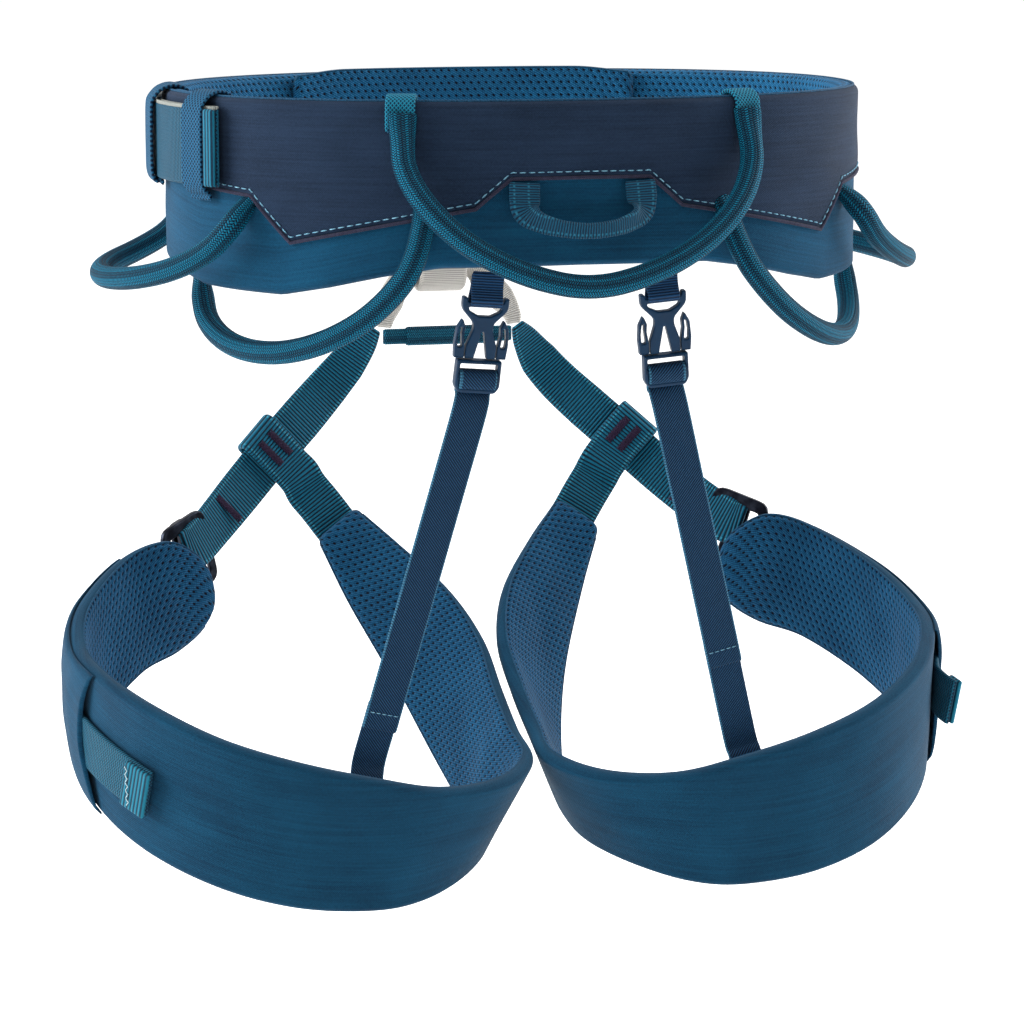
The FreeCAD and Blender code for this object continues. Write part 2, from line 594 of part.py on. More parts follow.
def make_risers():
    nodes = {}
    for side, length in ELASTIC_LENGTHS.items():
        for name, shape in make_riser(length, STUB_LENGTHS[side]).items():
            nodes[name + "_" + side] = shape if side == "right" else mirrored(shape)
    return nodes


def make_all():
    nodes = {}
    nodes.update(make_belt())
    nodes.update(make_waist_strap())
    nodes.update(make_gear_loops())
    nodes.update(make_haul_loop())
    nodes.update(make_tie_in())
    nodes.update(pair(make_leg_padding()))
    nodes.update(pair(make_leg_webbing()))
    nodes.update(pair({"leg_tail_sleeve": make_leg_sleeve()}))
    nodes["leg_strap_tail_right"] = make_leg_tail(12.6, 7.5, 0.56, 7.0)
    nodes["leg_strap_tail_left"] = mirrored(make_leg_tail(11.85, 1.5, 0.46, 13.0))
    nodes.update(make_risers())
    return nodes


os.makedirs("parts", exist_ok=True)
NODES = make_all()
for node, shape in NODES.items():
    bad = [s for s in shape.Solids if not s.isValid() or s.Volume <= 0]
    state = "BAD" if bad else ""
    print("%-26s solids %d  volume %9.1f mm3 %s" % (node, len(shape.Solids), shape.Volume, state))
    shape.exportStep("parts/" + node + ".step")
print(len(NODES), "nodes")
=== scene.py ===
import math

import bmesh
import bpy
import numpy as np
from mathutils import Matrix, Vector


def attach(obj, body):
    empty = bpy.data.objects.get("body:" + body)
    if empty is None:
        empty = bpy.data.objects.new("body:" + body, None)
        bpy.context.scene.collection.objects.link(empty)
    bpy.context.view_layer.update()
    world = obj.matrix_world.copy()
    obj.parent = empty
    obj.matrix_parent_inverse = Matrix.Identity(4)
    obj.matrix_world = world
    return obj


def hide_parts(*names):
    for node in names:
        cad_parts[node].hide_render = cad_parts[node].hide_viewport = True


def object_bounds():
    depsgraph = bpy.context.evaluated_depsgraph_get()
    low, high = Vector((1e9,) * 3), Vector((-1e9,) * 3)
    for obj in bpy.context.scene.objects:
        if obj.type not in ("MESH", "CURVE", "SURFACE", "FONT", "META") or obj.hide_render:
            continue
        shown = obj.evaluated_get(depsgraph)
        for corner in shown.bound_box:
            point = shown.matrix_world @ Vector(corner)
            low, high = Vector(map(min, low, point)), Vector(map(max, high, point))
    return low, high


# Looks of the climbing harness. Dimensions below are in millimetres, in the frame of the CAD part:
# +X is the wearer's right, +Y the wearer's front, +Z up. Meshes are made in metres.
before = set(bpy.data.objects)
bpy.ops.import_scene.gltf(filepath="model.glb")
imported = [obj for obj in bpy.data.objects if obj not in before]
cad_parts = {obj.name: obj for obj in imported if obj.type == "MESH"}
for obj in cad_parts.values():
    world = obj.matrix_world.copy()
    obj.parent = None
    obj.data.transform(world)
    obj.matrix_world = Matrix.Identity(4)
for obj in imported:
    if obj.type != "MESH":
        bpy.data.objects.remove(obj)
cad_box = [list(corner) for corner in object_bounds()]
MM = 0.001
SIDES = (("right", 1), ("left", -1))

# ---------------------------------------------------------------- dimensions
WAIST_HALF_WIDTH = 140.5
WAIST_HALF_DEPTH = 105.0
WAIST_ROUNDNESS = 2.2
BELT_TOP = 39.0
BELT_END = 166.0
BELT_THICK = 9.5
BELT_LOWER_EDGE = [(0, -25.0), (20, -25.5), (30, -29.0), (40, -33.5), (50, -37.0), (62, -36.5),
                   (72, -36.0), (82, -33.0), (95, -30.0), (105, -27.0), (115, -22.0), (150, -12.0),
                   (180, -12.0)]
YOKE_EDGE = [(0, 9.5), (27.0, 9.3), (40.5, -2.0), (105.7, -15.6), (118.5, 1.5), (134.8, 4.5)]
WAIST_WEBBING_WIDTH = 30.0
WAIST_WEBBING_Z = 19.0
TAIL_PROUD = 1.8                        # of the strap's tail from the belt's face
TAIL_ANGLES = [-134, -128, -121, -113, -105, -97, -89, -82, -76, -70, -65.5, -63]
TAIL_RISE = [7.5, 6.0, 3.2, 2.2] + [TAIL_PROUD] * 8
LOAD_ANGLES = (118, 234)
WAIST_BUCKLE_ANGLE = -148.0
KEEPERS = [("tail_keeper_front", -97, -89, 1.0), ("tail_keeper_rear", -73, -66, -1.5)]
FLAP_ANGLES = (148, 212)
FLAP_TOP = 38.6
FLAP_RAISED = 1.9                       # how much higher the flap's middle is
FLAP_BOTTOM = -11.5
BELT_CORNER = 3.6                       # radius of the belt's rolled edges
YOKE_ROLL = 2.33                        # place of the section where the yoke meets the lining
CORD_RADIUS = 4.5
CORD_STEP = 1.2                         # between the rings of a cord
LEG_WEBBING_WIDTH = 20.0
WEBBING_THICK = 2.2
RIB = (1.5, 0.16)                       # pitch and depth of the leg webbing's ribs
RIB_STEP = RIB[0] / 4
COVER_THICK = 0.9                       # fabric over the foam
SEAM_RADIUS = 0.4
LEG_THICK = 7.0
TIE_IN_Y = 128.5
BELAY_WIDTH = 21.0
BELAY_THICK = 3.5
BELAY_FOLD = 8.0                        # inner radius of the belay loop's two ends
UPPER_LOOP_WIDTH = 14.0
ARCH_WIDTH = 12.5
ARCH_END_WIDTHS = [6.5, 8.5]
TIE_IN_THICK = 3.0
RISER_WIDTH = 14.2
RISER_THICK = 1.5
RISER_TAB_WIDTH = 12.6
RISER_WRAP_THICK = 1.3
LEG_TOP = [(44.8, 99.6, -150.6), (28, 84, -164), (10.5, 62, -181), (1.8, 37, -197), (0.9, 9, -212),
           (0.9, -18, -223), (1.2, -43, -229.5), (17, -67, -232.5), (46, -81, -231), (76, -85.5, -224),
           (108, -83.5, -216), (138, -73, -207), (162, -52, -197), (177, -23, -189),
           (181.5, 6, -183), (175, 36, -173), (155, 61.6, -160.4), (134.8, 68.6, -154),
           (121, 74, -161), (115, 78, -172)]
LEG_BOTTOM = [(62.7, 94.9, -162.9), (50, 84, -189), (35, 60, -219), (25, 33, -242), (19, 4, -257),
              (18.5, -21, -264), (23, -43, -268.5), (37.5, -63, -273.5), (56, -75.5, -277.5),
              (77, -80, -278.5), (107, -78.5, -275.5), (136, -69, -268), (160, -48, -258),
              (175, -22, -246.5), (179.5, 6, -235), (172.5, 35, -224), (150, 58, -209),
              (131, 70, -202), (119, 76, -194), (114, 79, -184)]
REAR_LOOP_HALF = [(67.5, -100.8, 32), (68.3, -104, 14), (61.0, -111, -1), (46.0, -116.5, -15),
                  (24.5, -119.5, -26)]
REAR_LOOP_LOW = (0, -120.5, -31.5)
SIDE_LOOP = [(59.5, -102.9, -12), (64.5, -104, -22), (72.5, -104, -33), (84.5, -99.5, -44.5),
             (99.5, -89, -53.5), (113.5, -73.5, -58), (125, -54, -57), (131.5, -37, -50),
             (132, -29, -39.5)]
FRONT_LOOP = [(122.8, -65.0, 1.5), (127.5, -64.5, -11), (135, -58, -20.5), (147, -46, -28),
              (158.5, -29, -32.5), (166, -8, -34.5), (166.5, 12, -34), (159, 29, -32),
              (147.5, 40, -29), (135.3, 45.1, -23.5)]
HAUL_HALF = [(22.5, -106.0, 8), (22.8, -107.2, 2), (22.6, -109.0, -2.5), (19.0, -112.6, -6.0),
             (11.0, -115.8, -8.5), (0, -117.0, -9.5)]
ARCH_HALF = [(29.0, 109.5, -72.5), (28.2, 110.4, -68.0), (24.6, 116, -61.5), (19.5, 122.4, -55.5),
             (13, 128.2, -50.2), (0, TIE_IN_Y, -49.0)]
ARCH_ACROSS = [(1, 0.1, 0.1), (1, 0.1, 0.3), (0.85, -0.1, 0.6), (0.7, -0.4, 0.7), (0.3, -0.9, 0.2),
               (0, -1, 0)]
UPPER_HALF = [(25.0, 110.0), (22.5, 115.0), (16.5, 123.0), (9.0, 127.5), (0.0, TIE_IN_Y)]
BRIDGE_AT = (0, 112.6, -77.0)
BRIDGE_REACH = [14, 28.8]
BRIDGE_SIZE = (6.8, 2.4)
BRIDGE_COVER_REACH = 18.7
BRIDGE_COVER_SIZE = (8.3, 4.4)
MAIN_WEBBING = [((32.0, 114.4, -73.6), (0.9, 0.1, 0.4)), ((36.1, 118.0, -79.8), (0.72, 0.05, 0.69)),
                ((43.5, 121.5, -90), (0.72, -0.05, 0.68)),
                ((52.6, 121.2, -100.3), (0.73, 0, 0.68)), ((64, 116.5, -111.3), (0.69, 0.03, 0.72)),
                ((78.5, 109.3, -124.7), (0.68, 0.03, 0.73)), ((93.7, 100.3, -139.1), (0.6, 0.02, 0.78)),
                ((106.5, 90, -150.3), (0.48, -0.03, 0.88)), ((117.2, 79.0, -158.2), (0.4, -0.05, 0.9))]
MAIN_WIDTHS = [6.0, 12.0, 17.5, 19.0] + [LEG_WEBBING_WIDTH] * 5
LOOP_STATION = 5
INNER_WEBBING = [(54.2, 99.2, -155.4), (59.5, 101.8, -148), (64.5, 104.2, -141.5), (69, 107.2, -135.8)]
INNER_ACROSS = (-0.8, 0.2, 0.58)
BUCKLE_AT = (120.8, 79.9, -163.5)
BUCKLE_ALONG = (0.74, -0.60, -0.30)
BUCKLE_OUT = (0.60, 0.79, 0.0)
SLEEVE_REAR = 12.95
SLEEVE_FRONT = 16.1
TAIL_ENDS = {"right": (12.6, 7.5, 0.56, 7.0), "left": (11.85, 1.5, 0.46, 13.0)}
RISER_TOP = (34, -95, -36.5)
RISER_OUT = (-0.014, -0.992, -0.125)
RISER_LEAN = 14.4
ELASTIC_LENGTHS = {"right": 117.0, "left": 136.5}
STUB_LENGTHS = {"right": 43.5, "left": 24.5}
BUCKLE_LEAN = math.radians(5.0)
TAB_TOP = 9.6

# Side-release buckle, drawn for 20 mm webbing and made this much smaller: x outwards, y up.
BUCKLE_SCALE = 0.89
MALE_OUTLINE = [(-10.3, 0.7), (-8.4, 0.7), (-7.9, -1.3), (7.9, -1.3), (8.4, 0.7), (10.3, 0.7),
                (10.2, -4.6), (4.4, -10.6), (4.4, -13.6), (6.7, -20.5), (6.7, -26), (2.9, -26),
                (0.5, -14.2), (-0.5, -14.2), (-2.9, -26), (-6.7, -26), (-6.7, -20.5), (-4.4, -13.6),
                (-4.4, -10.6), (-10.2, -4.6)]
MALE_RADII = [0.9, 0.9, 0.8, 0.8, 0.9, 0.9, 5, 5, 5, 5, 0.4, 0.4, 0.5, 0.5, 0.4, 0.4, 5, 5, 5, 5]
MALE_GAP = [(-7.6, -3.6), (7.6, -3.6), (6.6, -5.4), (2.6, -7.4), (-2.6, -7.4), (-6.6, -5.4)]
MALE_GAP_RADII = [0.7, 0.7, 2, 3, 3, 2]
ARM_OUTLINE = [(7.2, -26), (7.2, -21.2), (8.0, -16), (7.7, -12.5), (9.2, -8.9), (11.4, -13), (11.9, -20),
               (11.4, -26)]
ARM_RADII = [0.4, 2, 3, 2, 0.5, 3, 4, 0.4]
ARM_SLOT = [(8.5, -21.2), (9.1, -15.5), (8.9, -12.2), (10.1, -12.9), (10.7, -17), (10.5, -21.2)]
FEMALE_OUTLINE = [(-9.9, -26.6), (9.9, -26.6), (10.0, -38), (8.2, -41.2), (-8.2, -41.2), (-10.0, -38)]
FEMALE_RADII = [1.0, 1.0, 4, 3.0, 3.0, 4]
FEMALE_HOLES = [(-8.3, -32.6, 8.3, -28.3), (-7.7, -38.8, 7.7, -35.4)]
TAB_ROUTE = [(0, 10.5, 0.3), (0, 4.0, 0.6), (0, 0.8, 2.1), (0, -1.0, 2.7), (0, -2.3, 1.5),
             (0, -2.5, -0.6), (0, -1.2, -2.6), (0, 1.4, -1.8), (0, 5.0, -0.9), (0, 9.5, -0.9)]
WRAP_ROUTE = [(0, -30.2, -2.6), (0, -28.6, -1.9), (0, -28.1, 0.6), (0, -28.9, 2.6), (0, -31.0, 3.3),
              (0, -33.9, 2.7), (0, -35.0, 0.8), (0.05, -35.8, -1.6), (0.15, -37.0, -3.1),
              (0.35, -38.6, -1.9)]

# ---------------------------------------------------------------- studio, in metres
FLOOR_DROP = 0.06                       # from the lowest point to the floor
FLOOR_HALF = 6.0
LIGHT_TARGET = (0, 0, -0.12)
LIGHTS = [("key", (-1.8, 0.22, 0.55), 1.2, 46.0), ("fill", (1.9, 0.2, 0.6), 1.2, 40.0),
          ("top", (0.1, 0.2, 1.9), 1.8, 18.0)]
VIEW_AZIMUTH = math.radians(-14.5)
VIEW_ELEVATION = math.radians(10.0)
VIEW_DISTANCE = 1.5
VIEW_TARGET = (0, 0, -0.135)
LENS = 128.6


# ---------------------------------------------------------------- vectors and curves
def vec(*p):
    return np.array(p[0] if len(p) == 1 else p, float)


def unit(v):
    v = np.asarray(v, float)
    return v / np.maximum(np.linalg.norm(v, axis=-1, keepdims=True), 1e-9)


def mix(table, x):
    """Straight interpolation in a table of (x, value) pairs."""
    return float(np.interp(x, [p[0] for p in table], [p[1] for p in table]))


def distances(line):
    """Distance of each point from the first one, along the line."""
    return np.concatenate([[0], np.cumsum(np.linalg.norm(np.diff(line, axis=0), axis=1))])


def smooth_step(x):
    x = np.clip(x, 0, 1)
    return x * x * (3 - 2 * x)


def curve_point(points, u):
    """Point at station number u (0 is the first) of the smooth curve through the points."""
    points = np.asarray(points, float)
    last = len(points) - 1
    i = min(max(int(u), 0), last - 1)
    t = u - i
    p1, p2 = points[i], points[i + 1]
    p0 = points[i - 1] if i > 0 else p1 * 2 - p2
    p3 = points[i + 2] if i + 2 <= last else p2 * 2 - p1
    return (p1 * 2 + (p2 - p0) * t + (p0 * 2 - p1 * 5 + p2 * 4 - p3) * t ** 2
            + (p1 * 3 - p0 - p2 * 3 + p3) * t ** 3) * 0.5


def resample(points, step, *carried):
    """Evenly spaced points on the smooth curve through the points, with what is carried along."""
    points = np.asarray(points, float)
    fine = np.linspace(0, len(points) - 1, 40 * (len(points) - 1) + 1)
    line = np.array([curve_point(points, u) for u in fine])
    length = distances(line)
    count = max(2, int(round(length[-1] / step)))
    even = np.linspace(0, length[-1], count + 1)
    u = np.interp(even, length, fine)
    rows = [np.array([curve_point(points, x) for x in u])]
    for values in carried:
        values = np.asarray(values, float)
        if values.ndim == 1:
            rows.append(np.interp(u, np.arange(len(values)), values))
        else:
            rows.append(np.array([curve_point(values, x) for x in u]))
    return [even] + rows


def soft_line(points, step):
    """Evenly spaced points on the smooth line that the control points pull towards them."""
    line = np.asarray(points, float)
    for _ in range(5):
        cut = np.empty((2 * len(line) - 2, 3))
        cut[0::2] = line[:-1] * 0.75 + line[1:] * 0.25
        cut[1::2] = line[:-1] * 0.25 + line[1:] * 0.75
        line = np.vstack([line[:1], cut, line[-1:]])
    length = distances(line)
    even = np.linspace(0, length[-1], int(round(length[-1] / step)) + 1)
    return even, np.stack([np.interp(even, length, line[:, k]) for k in range(3)], axis=1)


def tangents(line):
    return unit(np.gradient(line, axis=0))


def directions(line):
    """Direction along a line and two directions across it that turn as little as they can."""
    along = tangents(line)
    side = unit(np.cross(along, vec(0.13, 0.21, 1.0)))
    for i in range(1, len(side)):
        side[i] = unit(side[i - 1] - along[i] * side[i - 1].dot(along[i]))
    return along, side, np.cross(along, side)


def mirrored_route(half):
    """Route through both halves: half runs from the +X end to the middle."""
    half = np.asarray(half, float)
    return np.vstack([half * (-1, 1, 1), half[-2::-1]])


def ripple(x, y, size, seed):
    """Smooth random height between about -1 and 1, with hills about this many millimetres wide."""
    r = np.random.default_rng(seed)
    total = np.zeros(np.broadcast(x, y).shape)
    for _ in range(9):
        turn = r.uniform(0, math.tau)
        pitch = size * r.uniform(0.7, 1.6)
        phase = r.uniform(0, math.tau)
        total = total + np.sin((x * math.cos(turn) + y * math.sin(turn)) * math.tau / pitch + phase)
    return total / 3.5


# ---------------------------------------------------------------- mesh pieces
def add_object(name, data):
    obj = bpy.data.objects.new(name, data)
    bpy.context.scene.collection.objects.link(obj)
    return obj


def new_piece(name, points, faces, uvs, material):
    """Mesh object from points in millimetres; uvs holds one (across, along) pair per face corner."""
    mesh = bpy.data.meshes.new(name)
    mesh.from_pydata([tuple(p) for p in np.asarray(points) * MM], [], faces)
    layer = mesh.uv_layers.new(name="Fabric")
    layer.data.foreach_set("uv", np.asarray(uvs, np.float32).ravel())
    mesh.polygons.foreach_set("use_smooth", [True] * len(mesh.polygons))
    mesh.update()
    obj = add_object(name, mesh)
    mesh.materials.append(material)
    return obj


def grid_faces(points, uv, ring=False):
    """Faces and corner uvs of a grid of points (rows, columns); a ring's columns meet again."""
    rows, cols = points.shape[:2]
    faces, uvs = [], []
    for i in range(rows - 1):
        for j in range(cols if ring else cols - 1):
            k = (j + 1) % cols
            faces.append((i * cols + j, i * cols + k, (i + 1) * cols + k, (i + 1) * cols + j))
            uvs += [uv[i, j], uv[i, j + 1], uv[i + 1, j + 1], uv[i + 1, j]]
    return faces, uvs


def sheet_piece(name, points, uv, material, thick, flip):
    """Sheet of fabric with a thickness, from a grid of points on its outer face."""
    if flip:
        points, uv = points[::-1], uv[::-1]
    faces, uvs = grid_faces(points, uv)
    obj = new_piece(name, points.reshape(-1, 3), faces, uvs, material)
    solid = obj.modifiers.new("thickness", "SOLIDIFY")
    solid.thickness = thick * MM
    solid.offset = -1
    return obj


def ring_piece(name, rings, uv, material):
    """Closed piece through rings of points (rows, corners), with a flat face on each end."""
    faces, uvs = grid_faces(rings, uv, ring=True)
    count, corners = rings.shape[:2]
    faces.append(tuple(range(corners))[::-1])
    uvs += list(uv[0, :corners])[::-1]
    last = (count - 1) * corners
    faces.append(tuple(range(last, last + corners)))
    uvs += list(uv[-1, :corners])
    obj = new_piece(name, rings.reshape(-1, 3), faces, uvs, material)
    face_outwards(obj.data)
    return obj


def face_outwards(mesh):
    bm = bmesh.new()
    bm.from_mesh(mesh)
    bmesh.ops.recalc_face_normals(bm, faces=bm.faces)
    bm.to_mesh(mesh)
    bm.free()


def strap_section(width, thick, count):
    """Rounded flat section as (side, height) pairs, and the across coordinate of each corner."""
    side = np.linspace(-1, 1, count)
    edge = 0.5 * thick
    flat = side * (width / 2 - edge)
    round_angles = np.radians([60, 30, 0, -30, -60])
    right = [(width / 2 - edge + edge * math.cos(a), edge * math.sin(a)) for a in round_angles]
    left = [(-s, -h) for s, h in right]
    section = [(s, edge) for s in flat] + right + [(s, -edge) for s in flat[::-1]] + left
    return np.array(section)


def strap(name, points, across, width, thick, material, body, rib=(0.0, 0.0), step=1.0, count=15,
          taper=1.5):
    """Woven strap: rounded edges, ends drawn in over taper millimetres, optional crosswise ribs."""
    widths = width if isinstance(width, (list, np.ndarray)) else [width] * len(points)
    even, line, side, wide = resample(points, step, across, widths)
    along = tangents(line)
    side = unit(side - along * np.sum(side * along, axis=1, keepdims=True))
    normal = np.cross(along, side)
    rings, uv = [], []
    for i, distance in enumerate(even):
        end = min(distance, even[-1] - distance)
        ease = 1 if taper <= 0 else math.sqrt(max(0.04, 1 - (1 - min(1, end / taper)) ** 2))
        section = strap_section(wide[i] - (1 - ease), thick * ease, count)
        height = section[:, 1].copy()
        if rib[1]:
            wave = 0.5 + 0.5 * math.cos(math.tau * distance / rib[0])
            inner = np.abs(section[:, 0]) < wide[i] / 2 - 1.4
            height -= np.sign(height) * inner * (1 - wave) * rib[1]
        rings.append(line[i] + section[:, :1] * side[i] + height[:, None] * normal[i])
        u = section[:, 0] + wide[i] / 2
        uv.append(np.stack([np.append(u, u[0]), np.full(len(u) + 1, distance)], axis=1))
    obj = ring_piece(name, np.array(rings), np.array(uv), material)
    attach(obj, body)
    return obj


def cord_piece(name, route, material, body, flat_ends):
    """Round braided cord; flat_ends gives (end, length, width, thickness, width direction)."""
    even, line = soft_line(route, CORD_STEP)
    along, side, normal = directions(line)
    turns = np.linspace(0, math.tau, 33)
    rings, uv = [], []
    for i, distance in enumerate(even):
        offset = (np.cos(turns[:-1, None]) * side[i] + np.sin(turns[:-1, None]) * normal[i])
        ring = offset * CORD_RADIUS
        for end, length, width, thick, wide_way in flat_ends:
            reach = distance if end == 0 else even[-1] - distance
            share = 1 - smooth_step(reach / length)
            if share > 0:
                wide_dir = unit(vec(wide_way) - along[i] * vec(wide_way).dot(along[i]))
                thin_dir = np.cross(along[i], wide_dir)
                wide_part = (ring @ wide_dir)[:, None] * wide_dir
                thin_part = (ring @ thin_dir)[:, None] * thin_dir
                ring = (wide_part * (1 + share * (width / 2 / CORD_RADIUS - 1))
                        + thin_part * (1 + share * (thick / 2 / CORD_RADIUS - 1)))
        rings.append(line[i] + ring)
        uv.append(np.stack([turns * CORD_RADIUS, np.full(len(turns), distance)], axis=1))
    obj = ring_piece(name, np.array(rings), np.array(uv), material)
    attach(obj, body)
    return obj


def tube_points(line, radius, sides):
    """Rings of a thin round tube along a line."""
    _, side, normal = directions(line)
    turns = np.linspace(0, math.tau, sides + 1)[:-1]
    return (line[:, None] + radius * (np.cos(turns)[None, :, None] * side[:, None]
                                      + np.sin(turns)[None, :, None] * normal[:, None]))


def thin_tube(name, line, radius, material, body, sides):
    """Piping or rolled edge along a line."""
    line = np.asarray(line, float)
    rings = tube_points(line, radius, sides)
    length = distances(line)
    u = np.linspace(0, math.tau * radius, sides + 1)
    uv = np.stack(np.broadcast_arrays(u[None, :], length[:, None]), axis=2)
    obj = ring_piece(name, rings, uv, material)
    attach(obj, body)
    return obj


def stitches(name, line, outward, material, body, length, pitch, thick, zigzag=0.0):
    """Row of separate thread stitches lying on a surface along a line."""
    even, line, outward = resample(line, pitch / 8, outward)
    along = tangents(line)
    side = unit(np.cross(outward, along))
    total = even[-1]
    points, faces, uvs = [], [], []
    count = int(total / pitch)
    for n in range(count):
        middle = (n + 0.5) * total / count
        steps = np.linspace(-0.5, 0.5, 6)
        at = np.clip(middle + steps * length, 0, total)
        centre = np.stack([np.interp(at, even, line[:, k]) for k in range(3)], axis=1)
        out = np.stack([np.interp(at, even, outward[:, k]) for k in range(3)], axis=1)
        way = np.stack([np.interp(at, even, side[:, k]) for k in range(3)], axis=1)
        lift = thick * (0.55 - 1.6 * steps ** 2)
        lean = zigzag * steps * (1 if n % 2 else -1)
        centre = centre + out * lift[:, None] + way * lean[:, None] * 2
        round_off = np.sqrt(np.maximum(0.15, 1 - (2 * steps) ** 4))
        rings = tube_points(centre, 1.0, 6) - centre[:, None]
        rings = centre[:, None] + rings * (thick * 0.5 * round_off)[:, None, None]
        start = len(points)
        points += list(rings.reshape(-1, 3))
        for i in range(5):
            for j in range(6):
                k = (j + 1) % 6
                faces.append(tuple(start + x for x in (i * 6 + j, i * 6 + k, i * 6 + 6 + k, i * 6 + 6 + j)))
        faces.append(tuple(start + j for j in range(5, -1, -1)))
        faces.append(tuple(start + 30 + j for j in range(6)))
    for face in faces:
        uvs += [(0.0, 0.0)] * len(face)
    obj = new_piece(name, np.array(points), faces, uvs, material)
    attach(obj, body)
    return obj


def bevelled_plate(name, outline, holes, thick, material, body, matrix, bevel, dome=0.0):
    """Moulded or pressed plate drawn in x and y, with rounded edges and corners, moved by a matrix."""
    curve = bpy.data.curves.new(name, "CURVE")
    curve.dimensions = "2D"
    curve.fill_mode = "BOTH"
    for loop in [outline] + list(holes):
        spline = curve.splines.new("POLY")
        spline.points.add(len(loop) - 1)
        for point, (x, y) in zip(spline.points, loop):
            point.co = (x * MM, y * MM, 0, 1)
        spline.use_cyclic_u = True
    curve.extrude = (thick / 2 - bevel) * MM
    curve.bevel_depth = bevel * MM
    curve.bevel_resolution = 3
    curve.offset = -bevel * MM
    source = add_object(name + "_source", curve)
    bpy.context.view_layer.update()
    mesh = bpy.data.meshes.new_from_object(source)
    bpy.data.objects.remove(source)
    mesh.name = name
    bm = bmesh.new()
    bm.from_mesh(mesh)
    bmesh.ops.remove_doubles(bm, verts=bm.verts, dist=0.00002)
    bmesh.ops.recalc_face_normals(bm, faces=bm.faces)
    bm.to_mesh(mesh)
    bm.free()
    co = np.array([v.co for v in mesh.vertices], float).reshape(-1, 3) / MM
    if dome:
        reach = max(abs(p[0]) for p in outline)
        co[:, 2] += dome * (1 - (co[:, 0] / reach) ** 2)
    layer = mesh.uv_layers.new(name="Fabric")
    loops = np.array([loop.vertex_index for loop in mesh.loops])
    layer.data.foreach_set("uv", co[loops][:, :2].astype(np.float32).ravel())
    origin, x_axis, y_axis, z_axis = matrix
    co = origin + co[:, :1] * x_axis + co[:, 1:2] * y_axis + co[:, 2:] * z_axis
    mesh.vertices.foreach_set("co", (co * MM).astype(np.float32).ravel())
    mesh.polygons.foreach_set("use_smooth", [True] * len(mesh.polygons))
    mesh.materials.clear()
    mesh.update()
    obj = add_object(name, mesh)
    mesh.materials.append(material)
    edge = obj.modifiers.new("shading", "WEIGHTED_NORMAL")
    edge.keep_sharp = True
    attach(obj, body)
    return obj


def rounded(points, radius):
    """Outline with each corner replaced by an arc as large as radius, or a list of radii, allows."""
    points = [vec(*p) for p in points]
    radii = radius if isinstance(radius, (list, tuple)) else [radius] * len(points)
    out = []
    for i, corner in enumerate(points):
        before, after = points[i - 1], points[(i + 1) % len(points)]
        a, b = unit(before - corner), unit(after - corner)
        turn = math.acos(max(-1, min(1, -float(a @ b))))
        if turn < 0.05 or radii[i] == 0:
            out.append(tuple(corner))
            continue
        room = 0.48 * min(np.linalg.norm(before - corner), np.linalg.norm(after - corner))
        cut = min(radii[i] * math.tan(turn / 2), room)
        for t in np.linspace(0, 1, 5):
            start, end = corner + a * cut, corner + b * cut
            point = start * (1 - t) ** 2 + corner * 2 * t * (1 - t) + end * t ** 2
            out.append(tuple(point))
    return out


def box_outline(x0, y0, x1, y1):
    return [(x0, y0), (x1, y0), (x1, y1), (x0, y1)]


def slot_pair(near, far, reach, radius):
    """Two upright slots, one on each side of the middle."""
    return [rounded(box_outline(-far, -reach, -near, reach), radius),
            rounded(box_outline(near, -reach, far, reach), radius)]


def axes(origin, x_axis, z_axis):
    """Frame for a part drawn flat: its origin and its three directions."""
    z = unit(vec(z_axis))
    x = vec(x_axis)
    x = unit(x - z * x.dot(z))
    return vec(origin), x, np.cross(z, x), z


# ---------------------------------------------------------------- materials
def linear(red, green, blue):
    """Scene colour from an 8-bit screen colour."""
    return tuple((c / 255 / 12.92) if c < 10 else ((c / 255 + 0.055) / 1.055) ** 2.4
                 for c in (red, green, blue)) + (1.0,)


